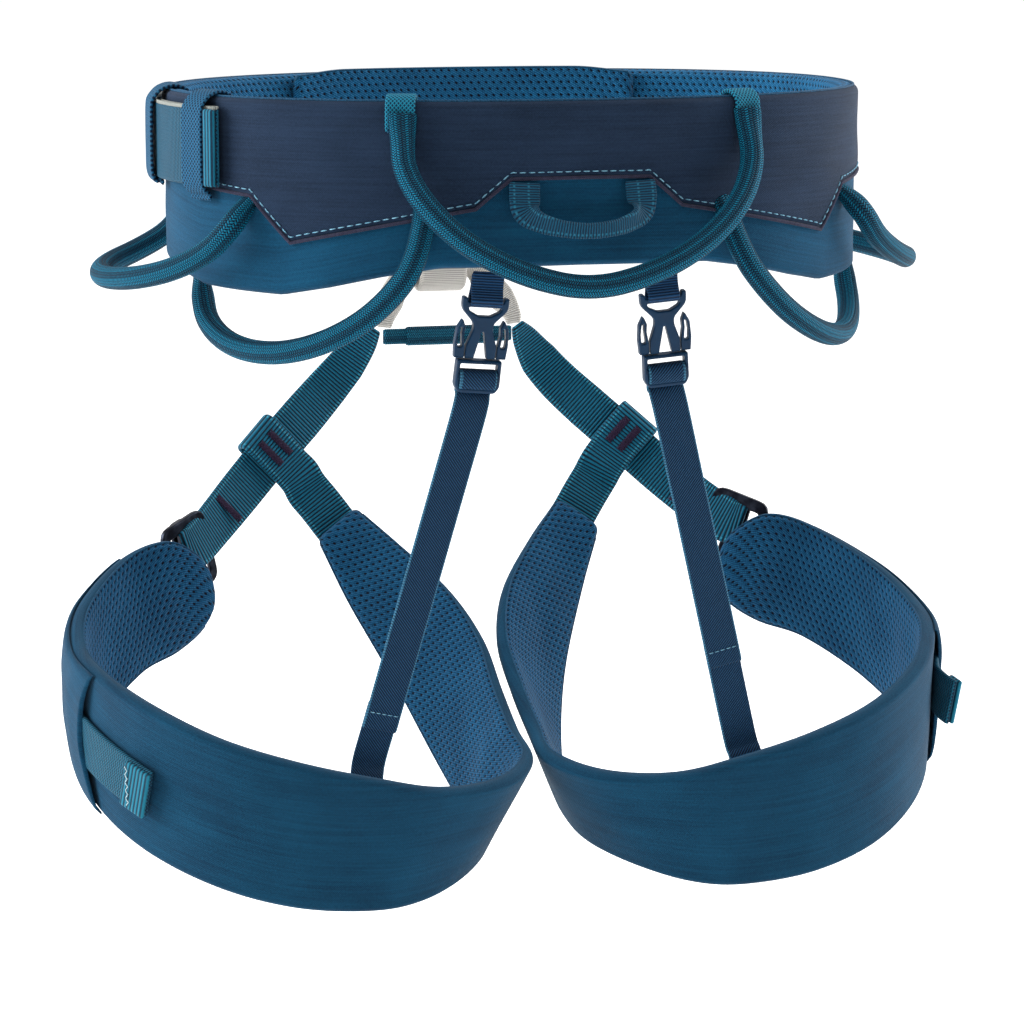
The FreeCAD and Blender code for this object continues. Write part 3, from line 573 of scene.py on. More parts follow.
class Fabric:
    """Material being put together: its coordinates are the piece's own, in millimetres."""

    def __init__(self, name, roughness, sheen=0.0, metallic=0.0, specular=0.3):
        self.material = bpy.data.materials.new(name)
        self.material.use_nodes = True
        self.nodes = self.material.node_tree.nodes
        self.links = self.material.node_tree.links
        self.shader = self.nodes["Principled BSDF"]
        self.shader.inputs["Roughness"].default_value = roughness
        self.shader.inputs["Metallic"].default_value = metallic
        self.shader.inputs["Specular IOR Level"].default_value = specular
        self.shader.inputs["Sheen Weight"].default_value = sheen
        self.shader.inputs["Sheen Roughness"].default_value = 0.45
        own = self.nodes.new("ShaderNodeUVMap")
        own.uv_map = "Fabric"
        parts = self.nodes.new("ShaderNodeSeparateXYZ")
        self.links.new(own.outputs["UV"], parts.inputs[0])
        self.u, self.v = parts.outputs[0], parts.outputs[1]

    def put(self, socket, value):
        """Links or sets an input; three numbers are an 8-bit screen colour."""
        if hasattr(value, "is_output"):
            self.links.new(value, socket)
        else:
            socket.default_value = linear(*value) if isinstance(value, tuple) else value

    def math(self, operation, *values):
        node = self.nodes.new("ShaderNodeMath")
        node.operation = operation
        for socket, value in zip(node.inputs, values):
            self.put(socket, value)
        return node.outputs[0]

    def add(self, a, b):
        return self.math("ADD", a, b)

    def times(self, a, b):
        return self.math("MULTIPLY", a, b)

    def mad(self, a, b, c):
        """a times b, plus c."""
        return self.math("MULTIPLY_ADD", a, b, c)

    def less(self, a, b):
        return self.math("SUBTRACT", a, b)

    def wave(self, x, pitch):
        """0 to 1 and back once every pitch."""
        return self.mad(self.math("COSINE", self.times(x, math.tau / pitch)), 0.5, 0.5)

    def cell(self, x, pitch):
        """Whole number of the cell, and the place in it from 0 to 1."""
        scaled = self.times(x, 1 / pitch)
        return self.math("FLOOR", scaled), self.math("FRACT", scaled)

    def band(self, x, low, high):
        """0 under low, 1 over high, smooth between."""
        node = self.nodes.new("ShaderNodeMapRange")
        node.interpolation_type = "SMOOTHSTEP"
        self.put(node.inputs["Value"], x)
        self.put(node.inputs["From Min"], low)
        self.put(node.inputs["From Max"], high)
        return node.outputs["Result"]

    def noise(self, across, along, detail, seed):
        """Soft random value with spots of this size in millimetres."""
        place = self.nodes.new("ShaderNodeCombineXYZ")
        self.put(place.inputs[0], self.times(self.u, 1 / across))
        self.put(place.inputs[1], self.times(self.v, 1 / along))
        self.put(place.inputs[2], seed)
        node = self.nodes.new("ShaderNodeTexNoise")
        node.inputs["Scale"].default_value = 1.0
        node.inputs["Detail"].default_value = detail
        self.links.new(place.outputs[0], node.inputs["Vector"])
        return node.outputs["Fac"]

    def spots(self, scale, detail=2.0):
        """Soft random value over the piece's own space, for parts without fabric coordinates."""
        node = self.nodes.new("ShaderNodeTexNoise")
        node.inputs["Scale"].default_value = scale
        node.inputs["Detail"].default_value = detail
        place = self.nodes.new("ShaderNodeTexCoord")
        self.links.new(place.outputs["Object"], node.inputs["Vector"])
        return node.outputs["Fac"]

    def blend(self, share, low, high):
        node = self.nodes.new("ShaderNodeMix")
        node.data_type = "RGBA"
        self.put(node.inputs["Factor"], share)
        self.put(node.inputs[6], low)
        self.put(node.inputs[7], high)
        return node.outputs[2]

    def done(self, colour, height, depth):
        """Sets the colour, and bump from a height between 0 and 1 that stands for depth millimetres."""
        self.put(self.shader.inputs["Base Color"], colour)
        bump = self.nodes.new("ShaderNodeBump")
        bump.inputs["Strength"].default_value = 1.0
        bump.inputs["Distance"].default_value = depth * MM
        self.put(bump.inputs["Height"], height)
        self.put(self.shader.inputs["Normal"], bump.outputs["Normal"])
        return self.material


def woven(name, dark, light):
    """Plain woven nylon: fine threads both ways, faint streaks along the piece."""
    m = Fabric(name, 0.85, 0.06, specular=0.1)
    warp, weft = m.wave(m.u, 0.85), m.wave(m.v, 0.85)
    threads = m.math("ABSOLUTE", m.less(warp, weft))
    streaks = m.noise(38.0, 0.9, 3.0, 1.7)
    grain = m.noise(0.7, 0.7, 2.0, 5.2)
    cloud = m.noise(26.0, 19.0, 2.0, 9.1)
    tone = m.mad(threads, 0.22, m.times(streaks, 0.4))
    tone = m.mad(grain, 0.35, tone)
    tone = m.mad(cloud, 0.3, tone)
    tone = m.band(tone, 0.3, 0.95)
    height = m.mad(grain, 0.5, m.times(threads, 0.5))
    return m.done(m.blend(tone, dark, light), height, 0.12)


def spacer_mesh(name, dark, light, hole):
    """Spacer mesh: staggered rows of small holes in a fine slanted knit, the holes painted dark as shade.
    """
    m = Fabric(name, 0.85, 0.05, specular=0.1)
    row, place_v = m.cell(m.v, 2.7)
    odd = m.math("FLOORED_MODULO", row, 2.0)
    scaled_u = m.mad(m.u, 1 / 3.3, m.times(odd, 0.5))
    place_u = m.math("FRACT", scaled_u)
    across = m.times(m.less(place_u, 0.5), 3.3 / 0.62)
    lean = m.mad(m.less(place_u, 0.5), 0.5, m.less(place_v, 0.5))
    up = m.times(lean, 2.7 / 0.5)
    far = m.math("SQRT", m.add(m.times(across, across), m.times(up, up)))
    # mask of the holes, which get the hole colour as painted shade
    hole_shade_mask = m.less(1.0, m.band(far, 0.75, 1.35))
    slant = m.wave(m.mad(m.u, 0.55, m.v), 0.95)
    knit = m.times(slant, m.mad(m.wave(m.u, 0.82), 0.5, 0.5))
    grain = m.noise(1.1, 1.1, 2.0, 3.0)
    cloud = m.noise(22.0, 22.0, 2.0, 7.7)
    tone = m.mad(knit, 0.5, m.times(grain, 0.3))
    tone = m.band(m.mad(cloud, 0.3, tone), 0.15, 0.95)
    rim = m.band(far, 1.2, 2.6)
    height = m.times(m.mad(knit, 0.25, m.times(rim, 0.75)), m.band(far, 0.7, 1.5))
    return m.done(m.blend(hole_shade_mask, m.blend(tone, dark, light), hole), height, 0.55)


def ribbed(name, dark, light, pitch=1.5, edge=None, width=20.0, chevron=0.0, depth=0.3, roughness=0.6):
    """Webbing with crosswise ribs whose grooves are painted darker as shade, optional stitch-like threads
    along both edges.
    """
    m = Fabric(name, roughness, 0.04, specular=0.15)
    along = m.v
    if chevron:
        _, place = m.cell(m.u, chevron)
        fold = m.math("ABSOLUTE", m.less(place, 0.5))
        along = m.mad(fold, pitch * 0.9, m.v)
    rib = m.wave(along, pitch)
    thread = m.wave(m.u, 0.55)
    grain = m.noise(0.5, 1.6, 2.0, 2.0)
    # the grooves between the ribs are painted darker as shade
    tone = m.mad(m.band(rib, 0.1, 0.75), 0.72, m.times(grain, 0.25))
    tone = m.mad(thread, 0.12, tone)
    tone = m.mad(m.noise(18.0, 30.0, 2.0, 4.0), 0.25, m.less(tone, 0.13))
    colour = m.blend(m.band(tone, 0.05, 1.0), dark, light)
    height = m.mad(thread, 0.12, m.times(rib, 0.85))
    if edge:
        middle = m.math("ABSOLUTE", m.less(m.u, width / 2))
        line = m.math("ABSOLUTE", m.less(middle, width / 2 - 1.7))
        near = m.less(1.0, m.band(line, 0.2, 0.6))
        dash = m.times(near, m.band(m.wave(m.v, 1.5), 0.35, 0.6))
        colour = m.blend(m.times(dash, 0.8), colour, edge)
        height = m.mad(dash, 0.4, height)
    return m.done(colour, height, depth)


def twill(name, dark, light, edge):
    """Woven elastic with a steep diagonal rib and paler looped edges."""
    m = Fabric(name, 0.7, 0.03, specular=0.12)
    diagonal = m.wave(m.mad(m.u, 0.9, m.v), 1.15)
    lengthwise = m.wave(m.u, 0.62)
    grain = m.noise(0.4, 0.9, 2.0, 6.0)
    tone = m.mad(diagonal, 0.75, m.times(m.times(lengthwise, diagonal), 0.4))
    tone = m.mad(grain, 0.3, tone)
    height = m.mad(lengthwise, 0.3, m.times(diagonal, 0.7))
    colour = m.blend(m.band(tone, 0.3, 1.15), dark, light)
    middle = m.math("ABSOLUTE", m.less(m.u, RISER_WIDTH / 2))
    near = m.band(middle, RISER_WIDTH / 2 - 0.9, RISER_WIDTH / 2 - 0.4)
    loops = m.times(near, m.mad(m.band(m.wave(m.v, 1.1), 0.2, 0.7), 0.6, 0.2))
    return m.done(m.blend(loops, colour, edge), height, 0.22)


def diamond(name, dark, light, pitch=1.9):
    """Knitted elastic in small diamonds."""
    m = Fabric(name, 0.7, specular=0.1)
    one = m.wave(m.mad(m.u, 1.0, m.v), pitch)
    other = m.wave(m.mad(m.u, -1.0, m.v), pitch)
    top = m.math("MAXIMUM", one, other)
    tone = m.mad(m.noise(0.5, 0.5, 2.0, 8.0), 0.35, m.times(top, 0.8))
    return m.done(m.blend(m.band(tone, 0.45, 1.1), dark, light), top, 0.22)


def braid(name, dark, light, row=1.23, stitch=0.95):
    """Braided sheath: rows of small yarns, each row half a yarn on from the next, a few darker."""
    m = Fabric(name, 0.65, specular=0.1)
    index, place = m.cell(m.u, row)
    odd = m.math("FLOORED_MODULO", index, 2.0)
    way = m.mad(odd, 2.0, -1.0)
    lean = m.times(m.less(place, 0.5), way)
    along = m.mad(lean, stitch * 0.5, m.v)
    along = m.mad(odd, stitch * 0.5, along)
    yarn = m.wave(along, stitch)
    _, pair = m.cell(m.u, 2 * row)
    ridge = m.math("SINE", m.times(place, math.pi))
    fold = m.math("SINE", m.times(pair, math.pi))
    group = m.math("FLOORED_MODULO", index, 5.0)
    dim = m.band(m.math("ABSOLUTE", m.less(group, 1.5)), 0.2, 1.4)
    tone = m.times(m.band(yarn, 0.15, 0.8), m.mad(ridge, 0.6, 0.4))
    tone = m.times(tone, m.mad(dim, 0.62, 0.38))
    tone = m.mad(m.noise(0.5, 0.9, 2.0, 4.4), 0.3, m.less(tone, 0.12))
    height = m.mad(fold, 0.3, m.times(m.times(yarn, ridge), 0.7))
    return m.done(m.blend(m.band(tone, 0.0, 0.95), dark, light), height, 0.5)


def thread(name, dark, light):
    """Twisted sewing thread."""
    m = Fabric(name, 0.7, specular=0.15)
    fibre = m.spots(2200.0)
    return m.done(m.blend(m.band(fibre, 0.3, 0.7), dark, light), fibre, 0.08)


def plastic(name, dark, light):
    """Moulded plastic with a very fine spark-eroded grain and slightly worn gloss."""
    m = Fabric(name, 0.42, specular=0.18)
    grain, wear = m.spots(1500.0, 3.0), m.spots(160.0)
    m.put(m.shader.inputs["Roughness"], m.mad(wear, 0.22, 0.3))
    return m.done(m.blend(wear, dark, light), grain, 0.03)


def metal(name, dark, light):
    """Anodised light alloy with fine brushing along the part."""
    m = Fabric(name, 0.34, metallic=1.0, specular=0.5)
    brush = m.noise(9.0, 0.16, 3.0, 3.3)
    wear = m.noise(5.0, 5.0, 3.0, 8.8)
    m.put(m.shader.inputs["Roughness"], m.mad(wear, 0.22, m.mad(brush, 0.12, 0.16)))
    return m.done(m.blend(m.band(wear, 0.35, 0.7), dark, light), brush, 0.03)


NAVY = woven("navy_fabric", (15, 28, 45), (34, 52, 76))
BLUE = woven("blue_fabric", (4, 42, 66), (15, 78, 110))
PIPING = woven("piping_fabric", (30, 30, 46), (58, 58, 78))
# the third colour is the painted shade inside the mesh's holes
MESH = spacer_mesh("belt_mesh", (12, 55, 88), (34, 116, 162), (2, 8, 20))
LEG_MESH = spacer_mesh("leg_mesh", (10, 46, 74), (28, 98, 140), (2, 8, 20))
# Same blue fabric as BLUE, painted darker as shade for the leg loops.
SHADED_LEG_BLUE = woven("leg_fabric_painted_shade", (4, 37, 59), (14, 69, 97))
# In the ribbed webbings the dark colour is the painted shade in the grooves between ribs, mixed with random
# grain.
TEAL = ribbed("teal_webbing", (0, 12, 27), (2, 96, 124), edge=(50, 140, 165))
TAIL = ribbed("waist_strap", (2, 24, 46), (4, 82, 108), pitch=1.3, chevron=1.5,
              width=WAIST_WEBBING_WIDTH)
SELVEDGE = ribbed("pale_selvedge", (92, 96, 94), (146, 150, 144), pitch=0.8, depth=0.1)
TEAL_TAIL = ribbed("leg_strap_tail", (2, 30, 52), (10, 88, 112), pitch=1.2, chevron=1.6)
FOLD = ribbed("leg_sewn_fold", (2, 36, 56), (16, 108, 132), pitch=1.9)
TAIL_FOLD_RIB = ribbed("sewn_fold", (2, 30, 52), (10, 104, 130), pitch=1.6)
HAUL = ribbed("haul_webbing", (3, 26, 48), (10, 78, 106), pitch=1.0, edge=(36, 112, 140),
              width=9.0)
GREY = ribbed("grey_webbing", (142, 137, 130), (198, 194, 187), pitch=0.8, depth=0.12,
              roughness=0.75)
CORD = braid("gear_cord", (1, 15, 34), (4, 112, 144))
SHEATH = diamond("cord_sheath", (4, 34, 56), (26, 124, 152), pitch=1.5)
BRIDGE = braid("bridge_webbing", (4, 34, 52), (20, 104, 130), row=1.2, stitch=0.9)
ELASTIC = twill("riser_elastic", (3, 18, 38), (28, 70, 104), (60, 116, 144))
NAVY_TAB = ribbed("riser_webbing", (2, 24, 48), (12, 58, 96), pitch=1.05)
KEEPER = diamond("keeper_elastic", (6, 26, 48), (34, 92, 126))
PLASTIC = plastic("buckle_plastic", (2, 34, 60), (6, 48, 78))
METAL = metal("buckle_metal", (20, 22, 30), (46, 50, 60))
PALE_THREAD = thread("pale_thread", (70, 122, 150), (134, 182, 204))
WHITE_THREAD = thread("white_thread", (130, 160, 170), (196, 214, 220))
DARK_THREAD = thread("dark_thread", (24, 14, 34), (52, 36, 62))
BLUE_THREAD = thread("blue_thread", (12, 44, 68), (30, 80, 112))


# ---------------------------------------------------------------- padded bands
def band_section(t, height, depth, corner, crown_out, crown_in):
    """Section of a padded band: t runs 0 to 1 round the bottom from the inside, to 2 up the outer
    face, to 3 over the top and to 4 down the inside. Gives heights and depths (outer face at 0)."""
    t = np.asarray(t, float) % 4
    half = depth / 2
    part = t % 1
    r = np.minimum(corner, height / 2)
    h = np.select([t < 1, t < 2, t < 3],
                  [r - r * np.sin(math.pi * part), r + (height - 2 * r) * part,
                   height - r + r * np.sin(math.pi * part)],
                  height - r - (height - 2 * r) * part)
    d = np.select([t < 1, t < 2, t < 3],
                  [-half - half * np.cos(math.pi * part), 0.0, -half + half * np.cos(math.pi * part)],
                  -depth)
    bulge = np.sin(math.pi * np.clip(h / np.maximum(height, 0.1), 0, 1))
    d = d + np.where((t > 1) & (t < 2), crown_out * bulge, 0)
    d = d - np.where(t > 3, crown_in * bulge, 0)
    return h, d


class Band:
    """Padded band between a top and a bottom line, rounded off at its two ends."""

    def __init__(self, top, bottom, depth, corner, end_corners, crown_out, crown_in, rolls):
        middle = (top + bottom) / 2
        self.length = distances(middle)
        self.up = unit(top - bottom)
        self.out = unit(np.cross(tangents(middle), self.up))
        self.corner, self.crown_out, self.crown_in = corner, crown_out, crown_in
        height = np.linalg.norm(top - bottom, axis=1)
        shrink = np.zeros(len(top))
        self.fullness = np.ones(len(top))
        total = self.length[-1]
        for reach, radius, roll in ((self.length, end_corners[0], rolls[0]),
                                    (total - self.length, end_corners[1], rolls[1])):
            inside = np.clip(1 - reach / radius, 0, 1)
            shrink = np.maximum(shrink, radius * (1 - np.sqrt(1 - inside ** 2)))
            over = np.clip(1 - reach / roll, 0, 1)
            self.fullness = np.minimum(self.fullness, np.sqrt(np.maximum(0.02, 1 - over ** 2)))
        self.base = bottom + self.up * shrink[:, None]
        self.height = height - 2 * shrink
        self.depth = depth * self.fullness
        self.sink = depth * (1 - self.fullness) / 2

    def grid(self, first, last, count, inset, wrinkle, from_last):
        """Points and coordinates of the cover between two places of the section."""
        points, uv = [], []
        for i in range(len(self.length)):
            lo = first[i] if hasattr(first, "__len__") else first
            hi = last[i] if hasattr(last, "__len__") else last
            t = np.linspace(lo, hi, count)
            full = self.fullness[i]
            h, d = band_section(t, self.height[i], self.depth[i], self.corner, self.crown_out * full,
                                self.crown_in * full)
            around = np.gradient(h), np.gradient(d)
            size = np.hypot(*around) + 1e-9
            way_h, way_d = -around[1] / size, around[0] / size
            v = np.concatenate([[0], np.cumsum(np.hypot(np.diff(h), np.diff(d)))])
            v = v - v[-1] + 90 if from_last else v
            bump = 0.0
            if wrinkle:
                bump = wrinkle(np.full(count, self.length[i]), v, h / max(self.height[i], 1)) * full
            h = h + way_h * (bump - inset * full)
            d = d - self.sink[i] + way_d * (bump - inset * full)
            points.append(self.base[i] + h[:, None] * self.up[i] + d[:, None] * self.out[i])
            uv.append(np.stack([np.full(count, self.length[i]), v], axis=1))
        return np.array(points), np.array(uv)

    def cover(self, name, first, last, count, material, body, inset=0.0, thick=0.9, wrinkle=None,
              mirror=1, replaces=(), from_last=False):
        points, uv = self.grid(first, last, count, inset, wrinkle, from_last)
        points = points * (mirror, 1, 1)
        obj = sheet_piece(name, points, uv, material, thick, flip=mirror > 0)
        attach(obj, body)
        if replaces:
            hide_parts(*replaces)
        return obj

    def edge_line(self, t, lift):
        """Line along the band at one place of its section, and the outward direction there."""
        line, out = [], []
        for i in range(len(self.length)):
            at = t[i] if hasattr(t, "__len__") else t
            near = np.array([at - 0.02, at, at + 0.02])
            h, d = band_section(near, self.height[i], self.depth[i], self.corner,
                                self.crown_out * self.fullness[i], self.crown_in * self.fullness[i])
            way = np.array([-(d[2] - d[0]), h[2] - h[0]])
            way = way / (np.linalg.norm(way) + 1e-9)
            normal = way[0] * self.up[i] + way[1] * self.out[i]
            point = self.base[i] + h[1] * self.up[i] + (d[1] - self.sink[i]) * self.out[i]
            line.append(point + normal * lift)
            out.append(normal)
        return np.array(line), np.array(out)


def end_spaced(total, step):
    """Distances along a band, closer together where its ends are rounded."""
    near = [x for x in (0, 0.15, 0.5, 1.0, 1.7, 2.6, 3.7, 5.2) if x < total / 3]
    middle = np.linspace(near[-1], total - near[-1], max(2, int((total - 2 * near[-1]) / step)))
    return np.concatenate([near[:-1], middle, [total - x for x in near[:-1]][::-1]])


# ---------------------------------------------------------------- waist belt
def plan_angle(x):
    """Plan angle from the back centre, in degrees, of the outer face at this distance sideways."""
    return math.degrees(math.asin((x / WAIST_HALF_WIDTH) ** (WAIST_ROUNDNESS / 2)))


def belt_point(angle, z, proud=0.0):
    """Point on the belt's outer face, moved outwards by proud."""
    s, c = math.sin(math.radians(angle)), -math.cos(math.radians(angle))
    p = 2 / WAIST_ROUNDNESS
    x = WAIST_HALF_WIDTH * math.copysign(abs(s) ** p, s)
    y = WAIST_HALF_DEPTH * math.copysign(abs(c) ** p, c)
    n = unit(vec(math.copysign(abs(s) ** (2 - p) / WAIST_HALF_WIDTH, s),
                 math.copysign(abs(c) ** (2 - p) / WAIST_HALF_DEPTH, c), 0))
    return vec(x, y, z) + n * proud


def belt_outward(angle):
    return belt_point(angle, 0, 1) - belt_point(angle, 0)


def belt_along(angle):
    return np.cross(belt_outward(angle), vec(0, 0, -1))


def yoke_height(angle):
    corners = [(plan_angle(x), z) for x, z in YOKE_EDGE]
    return mix(corners, abs(angle))


def belt_angles(first, last, step):
    """Angles along the belt at even distances, with the yoke's corners among them."""
    fine = np.linspace(first, last, 1400)
    line = np.array([belt_point(a, 0) for a in fine])
    length = distances(line)
    angles = list(np.interp(end_spaced(length[-1], step), length, fine))
    for x, _ in YOKE_EDGE:
        for corner in (-plan_angle(x), plan_angle(x)):
            if first < corner < last:
                nearest = min(range(len(angles)), key=lambda k: abs(angles[k] - corner))
                angles[nearest] = corner
    return np.array(angles)


def belt_lining_wrinkle(u, v, share):
    """Soft bulges of the mesh where the belt bends, strongest half way up."""
    return 0.5 * ripple(u, v * 0.8, 26.0, 11) * np.sin(math.pi * np.clip(share, 0, 1))


def belt_cloth_wrinkle(u, v, share):
    return 0.22 * ripple(u, v * 1.4, 34.0, 21) * np.sin(math.pi * np.clip(share, 0, 1))


def make_belt():
    angles = belt_angles(-BELT_END, BELT_END, 2.4)
    top = np.array([belt_point(a, BELT_TOP) for a in angles])
    bottom = np.array([belt_point(a, mix(BELT_LOWER_EDGE, abs(a))) for a in angles])
    belt = Band(top, bottom, BELT_THICK, BELT_CORNER, (5.0, 5.0), 0.0, 0.9, (4.0, 4.0))
    edge = np.array([yoke_height(a) for a in angles])
    face = belt.height - 2 * BELT_CORNER
    edge_t = 1 + np.clip((edge - belt.base[:, 2] - BELT_CORNER) / face, 0.02, 0.98)
    belt.cover("belt_yoke_cover", edge_t, YOKE_ROLL, 30, NAVY, "waistbelt", 0.0, 1.1, belt_cloth_wrinkle,
               replaces=["belt_yoke"], from_last=True)
    belt.cover("belt_panel_cover", -0.06, edge_t + 0.1, 34, BLUE, "waistbelt", 1.0, 0.9,
               belt_cloth_wrinkle, replaces=["belt_lower_panel"])
    belt.cover("belt_lining_cover", YOKE_ROLL - 0.04, 4.0, 44, MESH, "waistbelt", 0.35, 0.9,
               belt_lining_wrinkle, replaces=["belt_mesh_lining", "belt_foam"])
    piping, _ = belt.edge_line(edge_t, 0.15)
    thin_tube("belt_piping", piping, 0.7, PIPING, "waistbelt", 12)
    seam, out = belt.edge_line(edge_t + 2.3 / face, 0.12)
    keep = slice(6, len(seam) - 6)
    stitches("belt_topstitch", seam[keep], out[keep], PALE_THREAD, "waistbelt", 2.5, 3.5, 0.5)
    rim, _ = belt.edge_line(YOKE_ROLL - 0.02, 0.1)
    thin_tube("belt_top_seam", rim, 0.45, BLUE_THREAD, "waistbelt", 8)
    flap_angles = np.linspace(*FLAP_ANGLES, 60)
    inner = -(BELT_THICK + 0.6)
    steps = smooth_step((32 - np.abs(flap_angles - 180)) / 12)
    flap_top = np.array([belt_point(a, FLAP_TOP + FLAP_RAISED * rise, inner)
                         for a, rise in zip(flap_angles, steps)])
    flap_low = np.array([belt_point(a, FLAP_BOTTOM, inner) for a in flap_angles])
    flap = Band(flap_top, flap_low, 4.0, 1.6, (3.0, 3.0), 0.0, 0.3, (2.0, 2.0))
    flap.cover("front_flap_face", 0.05, 2.75, 40, BLUE, "waistbelt", 0.0, 0.8, replaces=["belt_front_flap"])
    flap.cover("front_flap_lining", 2.7, 4.1, 24, MESH, "waistbelt", 0.25, 0.8)


def belt_route(angles, z, prouds):
    prouds = prouds if hasattr(prouds, "__len__") else [prouds] * len(angles)
    return [belt_point(a, z, p) for a, p in zip(angles, prouds)]


def make_waist_strap():
    """Load webbing, buckle, doubled-back tail with its sewn end, and the two keepers."""
    upright = vec(0, 0, 1)
    load_angles = np.linspace(*LOAD_ANGLES, 30)
    load = strap("waist_load_webbing", belt_route(load_angles, WAIST_WEBBING_Z, 0.3 + WEBBING_THICK / 2),
                 [upright] * 30, WAIST_WEBBING_WIDTH, WEBBING_THICK, TAIL, "waistbelt")
    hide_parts("waist_webbing")
    angle = WAIST_BUCKLE_ANGLE
    at = belt_point(angle, WAIST_WEBBING_Z, 4.9)
    flat = axes(at, belt_along(angle), belt_outward(angle))
    outline = rounded(box_outline(-16, -18.5, 16, 18.5), 6)
    slots = slot_pair(4.5, 11, 15.5, 1.5)
    frame_piece = bevelled_plate("waist_buckle_plate", outline, slots, 2.6, METAL, "waistbelt", flat, 0.7)
    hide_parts("waist_buckle_frame")
    bar_at = axes(belt_point(angle, WAIST_WEBBING_Z, 7.7), belt_along(angle), belt_outward(angle))
    outline = rounded(box_outline(-5.5, -17.5, 5.5, 17.5), 3)
    bar = bevelled_plate("waist_buckle_bar", outline, [], 2.2, METAL, "waist_slider", bar_at, 0.7)
    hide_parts("waist_buckle_slider")
    prouds = [r + WEBBING_THICK / 2 for r in TAIL_RISE]
    tail = strap("waist_tail", belt_route(TAIL_ANGLES, WAIST_WEBBING_Z, prouds), [upright] * 12,
                 WAIST_WEBBING_WIDTH, WEBBING_THICK, TAIL, "waistbelt", step=0.8)
    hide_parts("waist_strap_tail")
    fold_angles = np.linspace(-66.0, -62.9, 5)
    fold_proud = TAIL_PROUD + WEBBING_THICK * 1.5 + 0.1
    strap("waist_tail_fold", belt_route(fold_angles, WAIST_WEBBING_Z, fold_proud), [upright] * 5,
          WAIST_WEBBING_WIDTH - 0.4, WEBBING_THICK, TAIL_FOLD_RIB, "waistbelt", step=0.5, taper=1.1)
    edge_z = WAIST_WEBBING_Z + WAIST_WEBBING_WIDTH / 2 + 0.1
    strap("waist_tail_selvedge", belt_route(TAIL_ANGLES, edge_z, prouds), [upright] * 12, 0.5,
          WEBBING_THICK - 0.2, SELVEDGE, "waistbelt", count=5)
    over = TAIL_PROUD + WEBBING_THICK + 0.9
    half = WAIST_WEBBING_WIDTH / 2
    for name, first, last, low in KEEPERS:
        middle = (first + last) / 2
        width = np.linalg.norm(belt_point(last, 0) - belt_point(first, 0))
        heights = [31.0, 37.5, 39.9, 38.6, WAIST_WEBBING_Z + half + 1.0, WAIST_WEBBING_Z + half - 2,
                   WAIST_WEBBING_Z + 5, WAIST_WEBBING_Z - 5, WAIST_WEBBING_Z - half + 2,
                   WAIST_WEBBING_Z - half - 1.5, low + 2.5, low]
        standoff = [-BELT_THICK - 1.0, -BELT_THICK - 0.4, -BELT_THICK / 2, 0.6, over - 0.8, over,
                    over + 0.2, over + 0.2, over, over - 1.6, 1.2, 0.8]
        route = [belt_point(middle, z, s + 0.6) for z, s in zip(heights, standoff)]
        band = strap(name + "_band", route, [belt_along(middle)] * len(route), width, 1.3, KEEPER,
                     "waistbelt", step=0.8)
        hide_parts(name)


# ---------------------------------------------------------------- gear loops and haul loop
def make_gear_loops():
    half = np.array([(67.4, -97.6, 34), (67.8, -99.2, 25), (68.3, -103, 13)] + REAR_LOOP_HALF[2:])
    rear = np.vstack([half * (-1, 1, 1), [REAR_LOOP_LOW], half[::-1]])
    sideways = (1, 0, 0)
    loop = cord_piece("rear_gear_cord", rear, CORD, "rear_gear_loop",
                      [(0, 15.0, 11.0, 3.6, sideways), (1, 15.0, 11.0, 3.6, sideways)])
    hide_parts("rear_gear_loop")
    side_way = belt_along(plan_angle(59.5))
    for side, sign in SIDES:
        flip = vec(sign, 1, 1)
        hidden = [(58.0, -95.6, 0.5), (58.9, -98.0, -5)]
        route = np.array(hidden + SIDE_LOOP[1:] + [(131.8, -27, -30)]) * flip
        ends = [(0, 12.0, 10.0, 4.6, side_way * flip), (1, 12.0, 10.0, 6.0, vec(0, 1, 0))]
        loop = cord_piece("side_gear_cord_" + side, route, CORD, "side_gear_loop_" + side, ends)
        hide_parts("side_gear_loop_" + side)
        route = np.array([(117.0, -57.0, 1), (122.4, -62.3, -5)] + FRONT_LOOP[1:] + [(129, 42, -17)]) * flip
        ends = [(0, 14.0, 9.6, 4.6, vec(0.5, 1, 0) * flip), (1, 9.0, 9.6, 5.0, vec(0, 0, 1))]
        loop = cord_piece("front_gear_cord_" + side, route, CORD, "front_gear_loop_" + side, ends)
        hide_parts("front_gear_loop_" + side)


def make_rear_loop_tabs():
    """Flattened sheath ends that fold over the belt's top edge, each with a sewn bar."""
    for side, sign in SIDES:
        angle = sign * plan_angle(67.5)
        heights = [27.0, 33.0, 37.4, 39.8, 39.9, 37.6, 32.0]
        standoff = [1.2, 1.0, 0.5, -2.6, -6.6, -9.4, -10.0]
        route = [belt_point(angle, z, s + 0.5) for z, s in zip(heights, standoff)]
        tab = strap("gear_loop_tab_" + side, route, [belt_along(angle)] * len(route), 11.4, 1.8, SHEATH,
                    "waistbelt", step=0.8)
        if sign > 0:
            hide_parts("rear_gear_loop_tabs")
        row = [belt_point(angle + a, 27.6, 2.9) for a in (-2.1, 0, 2.1)]
        stitches("gear_loop_bar_tack_" + side, row, [belt_outward(angle)] * 3, BLUE_THREAD, "waistbelt",
                 2.2, 0.75, 0.4, zigzag=0.8)


def make_haul_loop():
    points = mirrored_route(HAUL_HALF)
    legs, bar = (1, 0, 0), (0, -0.25, 1)
    across = [legs, legs, (1, 0, 1), bar, bar, bar, bar, bar, (-1, 0, 1), (-1, 0, 0), (-1, 0, 0)]
    widths = [12.0, 12.0, 10.5, 8.4, 6.6, 6.2, 6.6, 8.4, 10.5, 12.0, 12.0]
    loop = strap("haul_handle", points, across, widths, 2.0, HAUL, "haul_loop", step=0.6)
    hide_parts("haul_loop")


